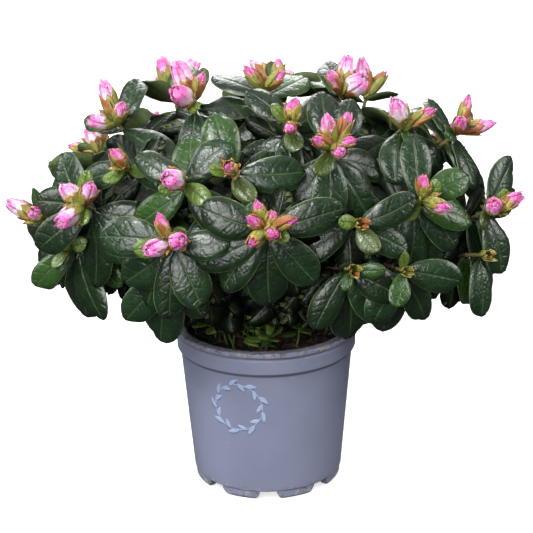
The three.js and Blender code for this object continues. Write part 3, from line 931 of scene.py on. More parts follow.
def bough_shoot(plan):
    """A bough taken as a shoot, for the leaves that grow straight from it."""
    axis = unit(plan["bough"][2] - plan["bough"][1])
    long = np.linalg.norm(plan["bough"][2] - plan["bough"][0])
    return dict(
        axis=axis, slope=unit(UP - axis * axis[2]), index=9,
        root_at=lambda down: bezier(plan["bough"], [max(0.3, 1.2 - down / long)])[0],
    )


def inner_leaves(plans):
    """Leaves lower on the shoots than the solids carry, where there is room between the others."""
    taken = [leaf_middles(leaf) for plan in plans for leaf in plan["leaves"]]
    shoots = [(plan["index"], shoot) for plan in plans for shoot in (*plan["grown"], bough_shoot(plan))]
    made = []
    for whorl in range(sizes().inner_whorls):
        tree = search_tree(np.concatenate(taken))
        for mass, shoot in shoots:
            turn = 360 * chance(mass, shoot["index"], 95)
            for k in range(INNER["leaves"]):
                luck = chance(mass, shoot["index"], 100 + whorl * 10 + k)
                clock = turn + GOLDEN_ANGLE * (INNER["leaves"] * whorl + k)
                down = INNER["first"] + INNER["step"] * whorl + k
                length = in_mm("inner_leaf") * (0.8 + 0.4 * luck)
                leaf = leaf_frame(shoot, clock, mix(INNER["tilt"], luck), down, length)
                points = leaf_middles(leaf)
                room = min(tree.find(point)[2] for point in points)
                if points[:, 2].min() >= INNER["lowest"] and room >= INNER["room"]:
                    leaf.update(kind=INNER["kind"], item=k, shoot=shoot["index"], mass=mass)
                    made.append(leaf)
                    taken.append(points)
    return made


def leaf_tone(leaf):
    """Which tone a leaf takes: dark for most, fresher low down, young beside the buds, and a painted
    shade for the inner leaves.
    """
    luck = chance(leaf["mass"] + 37, leaf["shoot"], leaf["kind"] * 20 + leaf["item"])
    limits, tones = LEAF_LUCK[leaf["kind"]]
    return tones[sum(luck >= limit for limit in limits)]


def leaf_finish(name, gloss=0.32, coat=0.34, shine=0.45, under=False):
    """Leathery leaf: mottled green, uneven gloss and fine wrinkles between the veins."""
    made = Finish(name, coat_roughness=0.25, specular_ior_level=shine)
    cloud = made.noise(9, 3, 0.6)
    fleck = made.noise(1.3, 3, 0.65)
    base = made.shades(colours(name), cloud.rise(0.3, 0.7), 0.78, 1.24)
    made.set(base_color=made.mix(fleck.rise(0.35, 0.8) * 0.35, base, lighter(name, 1.5)))
    across, along = made.on_blade()
    vein = abs((along * (math.pi * SIDE_VEINS)).wave()).rise(0, 0.6)
    inside = abs(across).rise(1, 0.7)
    net = made.cells(5.2, "DISTANCE_TO_EDGE").rise(0, 0.2)
    fine = made.cells(2.4, "DISTANCE_TO_EDGE").rise(0, 0.3)
    quilt = (vein * 0.5 + net * 0.35 + fine * 0.16) * inside * abs(across).rise(0, 0.1)
    made.set(normal=made.bump(quilt + made.noise(2.6, 2, 0.5) * 0.2, 0.2 if under else 0.37))
    made.set(roughness=made.noise(3, 2, 0.6).rise(0.25, 0.75, gloss - 0.07, gloss + 0.12))
    made.set(coat_weight=0 if under else made.noise(6, 2).rise(0.35, 0.7, coat * 0.4, coat))
    return made.material


def leaf_pieces():
    """The leaves, in three joined pieces so that each stays light."""
    plans = crown()
    finishes = [
        # The last tone, leaf_shade, is painted shade for the inner leaves, with less gloss.
        *(leaf_finish(name) for name in LEAF_TONES[:-1]), leaf_finish(LEAF_TONES[-1], 0.42, 0.1, 0.25),
        # leaf_margin: partly the pale rim, partly a painted highlight.
        leaf_finish("leaf_margin", 0.36, 0.3), leaf_finish("leaf_rib", 0.42, 0.1),
        leaf_finish("leaf_under", 0.62, 0, 0.4, under=True),
    ]
    fine = blade(LEAF_ROWS, LEAF_TOP, UNDER)
    plain = blade(PLAIN_LEAF_ROWS, PLAIN_LEAF_TOP, UNDER)
    rng = np.random.default_rng(SEEDS["leaves"])
    extra = inner_leaves(plans)
    groups = {"leaves_left": [], "leaves_right": [], "leaves_back": []}
    for plan in plans:
        side = "left" if plan["middle"][0] < 10 else "right"
        groups["leaves_back" if plan["name"].startswith("back") else f"leaves_{side}"].append(plan)
    for name, members in groups.items():
        wanted = {plan["index"] for plan in members}
        grown = [leaf for plan in members for leaf in plan["leaves"]]
        inner = [leaf for leaf in extra if leaf["mass"] in wanted]
        pile = Pile()
        add_blades(pile, fine, leaf_points(grown, fine, rng), leaf_parts(grown))
        add_blades(pile, plain, leaf_points(inner, plain, rng, PLAIN_RELIEF), leaf_parts(inner))
        pile.piece(name, finishes, foliage_nodes(members), "foliage")


def leaf_parts(leaves):
    """Which finish each face takes: the leaf's tone, or that of its margin, rib or underside."""
    tones = np.array([leaf_tone(leaf) for leaf in leaves])[:, None]

    def finish_of(places):
        across, layer = np.abs(places[:, 1]), places[:, 2]
        parts = [layer == 1, across > MARGIN_FROM, across < RIB_TO]
        part = np.select(parts, [UNDER_TONE, MARGIN_TONE, RIB_TONE], -1)
        return np.where(part < 0, tones, part)

    return finish_of


# ---- buds ----

OPENNESS = dict(
    front_centre=[0.16], front_left=[0.6], left_front=[1, 0.4], upper_left=[0.5], centre_left=[0.85],
    top_left=[0.75], centre_right=[0.3], top_right=[0.8], right_top=[0.7], right_front=[0.2],
    right_side=[0.9],
)
PETAL_RINGS = (
    dict(count=5, radius=1, closed=0.22, open=0.8, long=1, spread=62),
    dict(count=3, radius=0.86, closed=0.02, open=0.4, long=0.99, spread=80),
    dict(count=2, radius=0.6, closed=0, open=0.05, long=0.96, spread=110),
)
BUD_RISE = 0.25
SCALES = 7
TIP_SCALES = 7
PETAL_STEPS = 9
PETAL_TONES = ("petal_white", "petal_blush", "petal_pink", "petal_rose", "petal_deep")
SCALE_TONES = ("scale_green", "scale_straw", "scale_rust")
PETAL_GRIDS = ((8, (-1, -0.75, -0.4, 0, 0.4, 0.75, 1)), (7, (-1, -0.6, -0.2, 0.2, 0.6, 1)))


def cup_points(cups, pattern, thickness, ruffle):
    """Corners of petals or scales that wrap a bud's axis.

    At v along and u across, a petal turns by its own angle plus u times its spread plus a twist
    that grows with v. Its radius swells as a sine to the belly and closes towards the tip, with one
    rim outside the next petal and the other inside it, and waves near the end. Its height falls
    with u squared, which rounds the end.
    """
    v, u, layer = pattern["v"], pattern["u"], pattern["layer"]

    def of(key):
        """One field of all the cups."""
        return gather(cups, key)

    swell = np.sin(math.pi / 2 * np.minimum(v * of("reach") / 0.6, 1)) ** 0.8
    past = np.clip((v * of("reach") - 0.45) / 0.55, 0, 1)
    belly = of("radius") * (0.2 + 0.8 * swell) * (1 - past**2.8 * (1 - of("mouth")))
    wave = ruffle * of("ruffle") * np.sin(7 * u + of("phase")) * v**3 * (0.5 + 0.5 * np.abs(u))
    radius = np.maximum(belly + of("overlap") * u + of("outside") + wave + of("flare") * v**5, 0.4)
    depth = thickness + 0.8 * ruffle * of("ruffle") * v**3
    radius = radius - np.minimum(depth, 0.6 * radius) * layer
    angle = of("angle") + u * of("spread") * (1 - of("taper") * v**2) + of("twist") * v
    frill = 0.018 * of("ruffle") * np.sin(9 * u + 2 * of("phase")) * v**4
    height = of("long") * of("reach") * (v - of("round") * u**2 * v**2 + frill)
    outward = of("across") * np.cos(angle)[..., None] + of("third") * np.sin(angle)[..., None]
    return of("start") + of("along") * height[..., None] + outward * radius[..., None]


def lumps(number):
    """Rough balls of 20 faces, the corners of icosahedra: corners (12, 3) and faces (number, 20, 3)."""
    gold = (1 + 5**0.5) / 2
    pair = [(0, a, b * gold) for a in (-1, 1) for b in (-1, 1)]
    corners = np.concatenate([np.roll(pair, turn, axis=1) for turn in range(3)])
    near = np.linalg.norm(corners[:, None] - corners[None], axis=-1) < 2.1
    faces = []
    for a, b, c in itertools.combinations(range(len(corners)), 3):
        if near[a, b] and near[b, c] and near[a, c]:
            order = np.dot(np.cross(corners[b] - corners[a], corners[c] - corners[a]), corners[a])
            faces.append((a, b, c) if order > 0 else (a, c, b))
    shift = (np.arange(number) * len(corners))[:, None, None]
    return corners / np.linalg.norm(corners[0]), np.array(faces) + shift


def bud_hearts(pile, hearts, finish):
    """Rough ellipsoids inside the buds, so that no dark hollow shows between the petals' tips."""
    corners, faces = lumps(len(hearts))
    axes = np.stack([gather(hearts, key)[:, 0] for key in ("along", "across", "third")], axis=1)
    long, radius = (gather(hearts, key)[:, 0] for key in ("long", "radius"))
    reach = np.stack([0.31 * long, 0.58 * radius, 0.58 * radius], axis=-1)
    middle = gather(hearts, "start") + gather(hearts, "along") * 0.64 * gather(hearts, "long")[..., None]
    points = np.einsum("nk,hk,hkc->hnc", corners, reach, axes) + middle
    mirrored = np.linalg.det(axes)[:, None, None] < 0
    pile.add(points, np.where(mirrored, faces[..., ::-1], faces).reshape(-1, 3), finish)


def petal_cups(shared, stage, radius, first, side, rng):
    """A bud's petals, as (number of its ring, cup): rings of even angles, each inside the last.

    The bud's stage from 0, shut, to 1 widens the mouths, ruffles the rims and flares the outer ring
    by its square. Each inner ring is paler, a painted light that lifts the shade inside the bud.
    """
    pale = rng.uniform(-0.1, 0.1) + 0.3 * stage - 0.1
    cups = []
    for depth, ring in enumerate(PETAL_RINGS):
        mouth = mix((ring["closed"], ring["open"]), stage) * rng.uniform(0.85, 1.15)
        for k in range(ring["count"]):
            cups.append((depth, dict(
                shared, reach=1, radius=radius * ring["radius"], mouth=mouth, phase=rng.uniform(0, 7),
                # Each inner ring is 0.14 paler: painted light against the shade inside the bud; the rest
                # varies by chance and stage.
                overlap=0.4 * side, outside=0, pale=pale + 0.14 * depth + rng.uniform(-0.07, 0.07),
                flare=0 if depth else radius * stage**2 * rng.uniform(-0.1, 0.35),
                angle=first + depth + k * 2 * math.pi / ring["count"],
                spread=math.radians(ring["spread"]), taper=0.12, twist=side * 0.5,
                long=shared["long"] * rng.uniform(0.9, 1.04) * ring["long"],
                round=rng.uniform(0.08, 0.2), ruffle=0.5 + 1.9 * stage,
            )))
    return cups


def scale_cups(shared, stage, radius, first, side, rng):
    """The scales round a bud's foot, at even angles, shorter the further it has opened."""
    return [dict(
        shared, reach=(1 - 0.5 * stage) * rng.uniform(0.72, 1.03), radius=radius * 1.03, mouth=0.3,
        phase=rng.uniform(0, 7), overlap=0.15 * side, outside=0.4 + 0.35 * (k % 2),
        flare=rng.uniform(0, 2.8) * (0.3 + stage),
        angle=first + k * 2 * math.pi / SCALES + rng.uniform(-0.2, 0.2),
        spread=math.radians(50), taper=min(0.35 + 0.7 * stage, 0.8), twist=0, round=0.1, ruffle=1,
        tone=rng.choice(3, p=(0.5, 0.25, 0.25)),
    ) for k in range(SCALES)]


def tip_cups(shoot, bare, rng):
    """The small leaves that close a shoot's tip, each a golden angle on and a little further out.

    They are short and closed where the shoot has no buds.
    """
    across = unit(np.cross(shoot["axis"], shoot["slope"]))
    third = np.cross(shoot["axis"], across)
    shared = dict(start=shoot["tip"] - shoot["axis"] * 3, along=shoot["axis"], across=across, third=third)
    return [dict(
        shared, reach=1, radius=rng.uniform(2.2, 3.6), mouth=rng.uniform(0.4, 1), phase=rng.uniform(0, 7),
        overlap=0.2, outside=0.3 + 0.1 * k, flare=rng.uniform(0, 1.5) if bare else rng.uniform(0.5, 5.5),
        angle=math.radians(GOLDEN_ANGLE) * k, spread=math.radians(52), taper=0.75, twist=0,
        long=rng.uniform(9, 14) if bare else rng.uniform(12, 20), round=0.1, ruffle=1.5,
        tone=rng.choice(3, p=(0.7, 0.1, 0.2)),
    ) for k in range(TIP_SCALES)]


def bud_pieces():
    """The petals, the scales round their feet, and the small leaves that close each shoot's tip."""
    rng = np.random.default_rng(SEEDS["buds"])
    petals, scales, hearts = ([], []), [], []
    for plan in crown():
        openness = OPENNESS.get(plan["name"], [0.6])
        for bud in plan["buds"]:
            along = unit(bud["along"] + BUD_RISE * UP)
            across = unit(np.cross(along, bud["axis"] + 0.01 * UP))
            stage = bud["opening"] * openness[min(bud["shoot"], len(openness) - 1)]
            radius = BUD["radius"] * rng.uniform(0.92, 1.1) * (0.76 + 0.84 * stage)
            shared = dict(
                start=bud["start"], along=along, across=across, third=np.cross(along, across),
                long=bud["length"] * (0.94 + 0.3 * stage),
            )
            hearts.append(dict(shared, radius=radius))
            first, side = rng.uniform(0, 7), rng.choice((-1, 1))
            for depth, cup in petal_cups(shared, stage, radius, first, side, rng):
                petals[min(depth, 1)].append(cup)
            scales += scale_cups(shared, stage, radius, first, side, rng)
        for shoot in plan["grown"]:
            scales += tip_cups(shoot, not plan["shoots"][shoot["index"]][2], rng)
    pile = Pile()
    for cups, (rows, columns) in zip(petals, PETAL_GRIDS):
        pattern = blade(rows, columns, UNDER, tip_point=False)
        points = cup_points(cups, pattern, in_mm("petal_thickness"), in_mm("petal_ruffle"))
        add_blades(pile, pattern, points, petal_tones(cups, rng))
    bud_hearts(pile, hearts, PETAL_STEPS // 2)
    tones = np.array([colours(name) for name in PETAL_TONES])
    steps = np.linspace(0, len(tones) - 1, PETAL_STEPS)
    tints = np.stack([np.interp(steps, np.arange(len(tones)), tones[:, k]) for k in range(3)], axis=1)
    finishes = [petal_finish(f"petal_{number + 1}", tint) for number, tint in enumerate(tints)]
    pile.piece("petals", finishes, foliage_nodes(plan for plan in crown() if plan["buds"]), "foliage")
    pattern = blade(6, (-1, -0.5, 0, 0.5, 1), UNDER)
    tones = np.array([scale["tone"] for scale in scales])[:, None]
    pile = Pile()
    add_blades(pile, pattern, cup_points(scales, pattern, 0.35, 0.2), lambda places: tones)
    finishes = [scale_finish(name) for name in SCALE_TONES]
    pile.piece("bud_scales", finishes, foliage_nodes(crown()), "foliage")


def petal_tones(cups, rng):
    """Which finish each face takes: deeper towards the tip and the rims, less the petal's paleness."""
    pale = gather(cups, "pale")

    def finish_of(places):
        v, u = places[:, 0], np.abs(places[:, 1])
        depth = 0.08 + 0.86 * v**2.4 + 0.4 * u**4 * v - pale
        depth = depth + rng.uniform(-0.05, 0.05, (len(cups), len(places)))
        return np.clip(depth * PETAL_STEPS, 0, PETAL_STEPS - 1).astype(int)

    return finish_of


def petal_finish(name, tint):
    """Soft petal, cloudy in tone, with a fine crinkle."""
    made = Finish(
        name, subsurface_weight=0.55, subsurface_scale=0.005, subsurface_radius=(1, 0.7, 0.85),
        sheen_weight=0.15,
    )
    cloud = made.noise(2.5, 3, 0.6)
    made.set(base_color=made.shades(tint, cloud.rise(0.3, 0.7), 0.92, 1.2))
    made.set(roughness=made.noise(2, 2).rise(0.3, 0.7, 0.42, 0.56))
    across, _ = made.on_blade()
    pleat = (across * 26 + made.noise(3, 2) * 5).wave() * 0.5 + 0.5
    made.set(normal=made.bump(made.noise(0.9, 3, 0.6) * 0.3 + pleat * 0.7, 0.16))
    return made.material


def scale_finish(name):
    """Papery scale with a darker, dried blotch here and there."""
    made = Finish(name)
    cloud = made.noise(3, 3, 0.65)
    base = made.shades(colours(name), cloud.rise(0.3, 0.7), 0.75, 1.2)
    blotch = made.noise(4.5, 2, 0.6).rise(0.5, 0.7) * 0.6
    _, along = made.on_blade()
    dry = (along.rise(0.6, 1) * made.noise(2.2, 2).rise(0.3, 0.6)).most(blotch)
    made.set(base_color=made.mix(dry, base, colours("scale_rust")))
    made.set(roughness=made.noise(2, 2).rise(0.3, 0.7, 0.4, 0.6))
    made.set(normal=made.bump(made.noise(0.8, 3, 0.6), 0.1))
    return made.material


# ---- wood ----

# How far each limb runs on into its neighbour, in millimetres, so that no joint shows.
SUNK = dict(stem=3, stem_top=2.5, bough=3.2, twig=1.2, fork=1.5, tip=0.8)
YOUNG_FROM = 10
TWIG_POINTS = 15


def bark_finish(name, base, light=1.35):
    """Bark with fine ridges, paler rubbed patches and dark pits."""
    made = Finish(name)
    ridge = made.noise(1.6, 4, 0.65, warp=0.6)
    patch = made.noise(7, 3, 0.6)
    tone = made.shades(colours(base), ridge.rise(0.3, 0.7), 0.6, light)
    made.set(base_color=made.mix(patch.rise(0.5, 0.75) * 0.4, tone, lighter(base, 1.7)))
    made.set(roughness=ridge.rise(0.3, 0.7, 0.62, 0.85))
    made.set(normal=made.bump(ridge * 0.7 + made.noise(0.6, 2) * 0.3, 0.35))
    return made.material


def bark_relief(seed):
    """Ridges that run up a limb and wander round it, in millimetres of extra radius."""
    high = in_mm("bark_relief")

    def relief(along, angle):
        """Two ripples in space, read on a cylinder shortened along the limb, which draws ridges out."""
        ring = np.stack(np.broadcast_arrays(np.cos(angle) * 3, np.sin(angle) * 3, along * 0.35), axis=-1)
        return high * (ripple(ring, 2.4, seed) + 0.6 * ripple(ring, 6, seed + 1, 1))

    return relief


def limb_piece(plans, bark):
    """The stem and the boughs, tubes along quadratic curves.

    A bough's radius tapers evenly, times 1 + 0.45 exp(-k / 1.6) on its ring k, so that it swells
    where it springs.
    """
    pile = Pile()
    up = np.linspace(0, 1, 34)
    path = bezier(TRUNK_CURVE, up)
    path[0, 2] -= SUNK["stem"]
    radii = [*trunk_radius(up), TRUNK["tip_radius"] * 0.55]
    pile.tube([*path, path[-1] + UP * SUNK["stem_top"]], radii, 28, relief=bark_relief(SEEDS["stem"]))
    share = np.linspace(0, 1, 22)
    swell = 1 + 0.45 * np.exp(-np.arange(len(share) + 1) / 1.6)
    thick = mix((BOUGH["base_radius"], BOUGH["tip_radius"]), np.concatenate([[0], share])) * swell
    for plan in plans:
        path = bezier(plan["bough"], share)
        root = path[0] - unit(plan["bough"][1] - plan["bough"][0]) * SUNK["bough"]
        pile.tube([root, *path], thick, 14, relief=bark_relief(SEEDS["boughs"] + plan["index"]))
    boughs = [f"bough_{plan['name']}" for plan in plans]
    pile.piece("stem_and_boughs", [bark], ["main_stem", *boughs], "bark")


def twig_piece(plans, bark):
    """Each mass's short stem and its shoots' twigs, brown below and young above.

    A twig runs halfway between its quadratic curve and the straight steps that leaves root on.
    """
    pile = Pile()
    share = np.linspace(0, 1, TWIG_POINTS)
    joints = np.linspace(0, 1, TWIG["steps"] + 1)
    thick = mix((TWIG["base_radius"], TWIG["tip_radius"]), share)
    old = slice(YOUNG_FROM + 1)
    for plan in plans:
        foot, middle, fork = plan["stem"]
        back = unit(fork - foot)
        radii = [1.7, *[TWIG["stem_radius"]] * 3, 1.2]
        path = [foot - back * SUNK["twig"], foot, middle, fork, fork + back * SUNK["fork"]]
        pile.tube(path, radii, 10)
        for shoot in plan["grown"]:
            corner = bezier(shoot["twig"], joints)
            chords = np.stack([np.interp(share, joints, corner[:, k]) for k in range(3)], axis=1)
            path = (bezier(shoot["twig"], share) + chords) / 2
            pile.tube(path[old], thick[old], relief=bark_relief(SEEDS["twigs"] + shoot["index"]))
            path = [*path[YOUNG_FROM:], path[-1] + shoot["axis"] * SUNK["tip"]]
            pile.tube(path, [*thick[YOUNG_FROM:], 0.6], finish=1)
    finishes = [bark, bark_finish("shoot_finish", "shoot", 1.25)]
    pile.piece("twigs", finishes, foliage_nodes(plans), "bark")


# ---- sprigs ----


def soil_level(radius):
    """The level of the soil's solid at a distance from the middle: flat, then an even fall."""
    share = np.clip((radius - SOIL["flat_radius"]) / (SOIL_RIM - SOIL["flat_radius"]), 0, 1)
    return SOIL_TOP - SOIL["mound"] * share


def straight_shoot(foot, tip):
    """A sprig's shoot, on which leaves root straight back from the tip."""
    axis = unit(tip - foot)
    return dict(axis=axis, slope=unit(np.cross(axis, UP)), root_at=lambda down: tip - axis * down)


def sprig_piece():
    """Low sprigs that spring from the soil, with finer sprouts between them."""
    rng = np.random.default_rng(SEEDS["sprigs"])
    leaves, pile = [], Pile()

    def stem(foot, tip, radius):
        """A thin tube from under the soil to the tip, with its middle moved aside by chance."""
        bow = (foot + tip) / 2 + np.append(rng.uniform(-1, 1, 2), 0)
        radii = np.array((1.3, 1, 0.94, 0.88, 0.4)) * radius
        pile.tube([foot - UP * 2, foot, bow, tip, tip + unit(tip - foot) * 0.4], radii, 7, 1)

    for number, azimuth in enumerate(SPRIGS["azimuths"]):
        out = level_way(math.radians(azimuth))
        level = soil_level(SPRIGS["radius"] - SPRIGS["twig_radius"]) + CLEARANCE
        foot = out * SPRIGS["radius"] + UP * level
        height = SPRIGS["height"] * (0.8 + 0.4 * chance(number, 7, 7))
        tip = foot + UP * height + out * height * 0.25
        shoot = straight_shoot(foot, tip)
        stem(foot, tip, SPRIGS["twig_radius"])
        for k in range(SPRIGS["leaves"] + 3):
            grown = k < SPRIGS["leaves"]
            size = LEAF["length"] * SPRIGS["leaf_share"] * (1 if grown else 0.75)
            tilt = mix((62, 34), k / SPRIGS["leaves"]) if grown else 20
            leaves.append(leaf_frame(shoot, GOLDEN_ANGLE * k, tilt, max(3 - 0.7 * k, 0.2), size))
    for _ in range(sizes().sprouts):
        place = rng.uniform(14, 47)
        turn = rng.choice((rng.uniform(0, 360), rng.uniform(200, 270)))
        foot = level_way(math.radians(turn)) * place + UP * soil_level(place)
        lean = np.append(rng.uniform(-0.4, 0.4, 2), 1) * rng.uniform(8, 30)
        shoot = straight_shoot(foot, foot + lean)
        stem(foot, foot + lean, 0.45)
        for k in range(rng.integers(2, 6)):
            size = rng.uniform(8, 16)
            leaves.append(leaf_frame(shoot, GOLDEN_ANGLE * k, rng.uniform(20, 60), 1.6 * k, size))
    for leaf in leaves:
        leaf["width"] *= rng.uniform(0.9, 1.25)
        leaf["bend"] = rng.uniform(0.3, 0.9)
    tones = np.array([0, 3, 2])[rng.choice(3, (len(leaves), 1), p=(0.5, 0.3, 0.2))]
    pattern = blade(8, (-1, -0.5, -0.06, 0.06, 0.5, 1), UNDER)
    points = leaf_points(leaves, pattern, rng, 0.7)
    add_blades(pile, pattern, points, lambda places: tones)
    nodes = [f"sprig_{number + 1}" for number in range(len(SPRIGS["azimuths"]))]
    finishes = [
        leaf_finish("sprig", 0.4, 0.1), bark_finish("sprig_stem", "sprig", 1.2),
        leaf_finish("leaf_young", 0.4, 0.1), leaf_finish("leaf_green", 0.4, 0.1),
    ]
    pile.piece("sprigs", finishes, nodes, "sprig")


# ---- soil ----


def soil_ground(pile):
    """A disc whose height is the mound plus ripples, on a closed foot."""
    rings, around = 60, 180
    radius = SOIL_RIM * np.linspace(0.01, 1, rings)[:, None]
    flat = on_circle(radius, turns(around), 0)
    rough = ripple(flat, 9, 5) * 0.5 + np.abs(ripple(flat, 3.2, 6)) * 0.9 - 0.35
    rough = rough + ripple(flat, 1.9, 8, 1) * 0.3
    fade = np.clip((SOIL_RIM - radius) / 3, 0.25, 1)
    top = flat + UP * (soil_level(radius) + in_mm("soil_relief") * rough * fade)[..., None]
    floor = UP * (POT_STEP + 1)
    pile.add([*top, flat[-1] + floor], grid_quads(rings + 1, around, around=True)[:, ::-1])
    pile.cap(np.arange(around), UP * SOIL_TOP)
    pile.cap(np.arange(around) + rings * around, floor, -1)


def soil_crumbs(pile, rng):
    """Rough balls that sink a little into the soil, most of them small, and none past its rim.

    A square root of chance spreads them evenly over the disc.
    """
    number = sizes().crumbs
    corners, faces = lumps(number)
    place = np.sqrt(rng.uniform(0.02, 0.98, number)) * SOIL_RIM
    turn = rng.uniform(0, 2 * math.pi, number)
    size = in_mm("crumb") / 2 * rng.uniform(0.22, 1, number) ** 1.5
    middle = on_circle(place, turn, soil_level(place) + size * 0.25)
    middle[:, :2] *= (1 - np.clip((place + size * 1.3 - SOIL_RIM) / place, 0, 1))[:, None]
    shapes = corners * rng.uniform(0.65, 1.2, (number, len(corners), 1)) * size[:, None, None]
    shapes = shapes * rng.uniform(0.6, 1.2, (number, 1, 3)) + middle[:, None]
    tone = np.repeat(rng.choice(3, number, p=(0.72, 0.2, 0.08)), faces.shape[1])
    pile.add(shapes, faces.reshape(-1, 3), tone)


def soil_fibre(pile, rng):
    """A thin thread that lies on the soil, bowed aside and upwards as two parabolas."""
    place, turn, way = rng.uniform(3, SOIL_RIM - 8), rng.uniform(0, 7), rng.uniform(0, 7)
    long = rng.uniform(4, 14)
    run = np.linspace(-0.5, 0.5, 6)
    bow = rng.uniform(-0.5, 0.5) * long * run**2
    x = place * math.cos(turn) + run * long * math.cos(way) - bow * math.sin(way)
    y = place * math.sin(turn) + run * long * math.sin(way) + bow * math.cos(way)
    keep = np.minimum(1, (SOIL_RIM - 1) / np.maximum(np.hypot(x, y), 1e-6))
    x, y = x * keep, y * keep
    z = soil_level(np.hypot(x, y)) + 0.9 + rng.uniform(0, 1.4) * (0.25 - run**2) * 4
    pile.tube(np.stack([x, y, z], axis=-1), np.full(6, rng.uniform(0.16, 0.34)), 5, 2)


def soil_piece():
    """Lumpy soil with crumbs and fibres."""
    rng = np.random.default_rng(SEEDS["soil"])
    pile = Pile()
    soil_ground(pile)
    soil_crumbs(pile, rng)
    for _ in range(sizes().fibres):
        soil_fibre(pile, rng)
    soils = [soil_finish("soil_finish", 1), soil_finish("soil_light", 1.5)]
    soils.append(bark_finish("soil_fibre", "fibre"))
    pile.piece("soil_surface", soils, ["potting_soil"], "soil")


def soil_finish(name, light):
    """Damp dark soil: near-black grains, paler dry specks."""
    made = Finish(name)
    grain = made.noise(1.1, 4, 0.7)
    base = tuple(np.asarray(colours("soil")) * light)
    speck = made.cells(2.6).rise(0.18, 0.08)
    tone = made.shades(base, grain.rise(0.25, 0.75), 0.4, 1.7)
    made.set(base_color=made.mix(speck * 0.5, tone, colours("fibre")))
    made.set(roughness=grain.rise(0.2, 0.8, 0.7, 0.95))
    made.set(normal=made.bump(grain, 0.5))
    return made.material


# ---- pot ----


def rounded(profile, radius):
    """A profile (r, z, corner) with each corner cut back by a radius and bent as a quadratic arc."""
    points = np.array(profile, float)
    made = [points[0]]
    for before, corner, after in zip(points[:-2], points[1:-1], points[2:]):
        into, away = before - corner, after - corner
        reach = min(radius, 0.4 * np.linalg.norm(into), 0.4 * np.linalg.norm(away))
        start = corner + unit(into) * reach
        end = corner + unit(away) * reach
        made += list(bezier([start, corner, end], np.linspace(0, 1, 4)))
    made.append(points[-1])
    return np.array(made)


def pot_profile():
    """The pot's section from its axis below, up the outside, over the rim and down to its floor."""
    wall, top, bevel = POT["wall"], POT["height"], POT["bevel"]
    foot, floor, inner = POT["foot_radius"], POT["foot_height"], POT["foot_inner_radius"]
    back, up = POT["foot_bevel"]
    return [
        (0, floor), (inner, floor), (inner, 0), (foot - back, 0), (foot, up), (foot, floor),
        (POT["wall_foot_radius"], floor + bevel), (POT["wall_top_radius"], POT_STEP),
        (POT["collar_radius"], top - POT["collar_drop"]), (POT["collar_radius"], top - POT["collar_top"]),
        (POT["groove_radius"], top - POT["groove_drop"]),
        (POT["lip_radius"], top - POT["lip_drop"]), (POT["lip_radius"], top - bevel),
        (POT["lip_radius"] - bevel, top), (POT["ledge_radius"], top), (POT["ledge_radius"], POT_STEP),
        (POT["wall_foot_radius"] - wall, floor + wall), (0, floor + wall),
    ]


def pot_piece():
    """The pot: its rounded section turned about the axis, with notches lifted out of its foot.

    A notch's height at a distance aside of its middle is read off a quadratic curve, and lifts the
    foot by that height at the bottom and by nothing at the floor.
    """
    profile = rounded(pot_profile(), 0.7)
    dense = [profile[0]]
    for a, b in zip(profile[:-1], profile[1:]):
        pieces = max(1, int(np.linalg.norm(b - a) / 4)) if a[1] > 0.5 or b[1] > 0.5 else 1
        dense += [a + (b - a) * k / pieces for k in range(1, pieces + 1)]
    dense = np.array(dense)[1:-1]
    around, floor = 400, POT["foot_height"]
    angle = turns(around) - math.pi / 2
    sector = 2 * math.pi / POT["notches"]
    aside = np.abs((angle + math.pi / 2 + sector / 2) % sector - sector / 2) * POT["foot_radius"]
    edge = bezier([(*point, 0) for point in POT["notch_edge"]], np.linspace(0, 1, 30))[::-1]
    high = POT["notch_edge"][-1][1]
    notch = np.clip(np.interp(aside, edge[:, 0], edge[:, 1], left=high, right=-1), 0, high)
    r, z = dense[:, :1], dense[:, 1:]
    outside = np.arange(len(dense))[:, None] < len(dense) / 2
    foot = (r > POT["foot_inner_radius"] - 0.1) & (z < floor) & outside
    level = np.where(foot, notch + z * (1 - notch / floor), z)
    pile = Pile()
    pile.add(on_circle(r, angle, level), grid_quads(len(dense), around, around=True))
    pile.cap(np.arange(around), UP * floor, -1)
    pile.cap(np.arange(around) + (len(dense) - 1) * around, UP * (floor + POT["wall"]))
    pile.piece("nursery_pot", [pot_finish()], ["pot"], "pot_plastic")


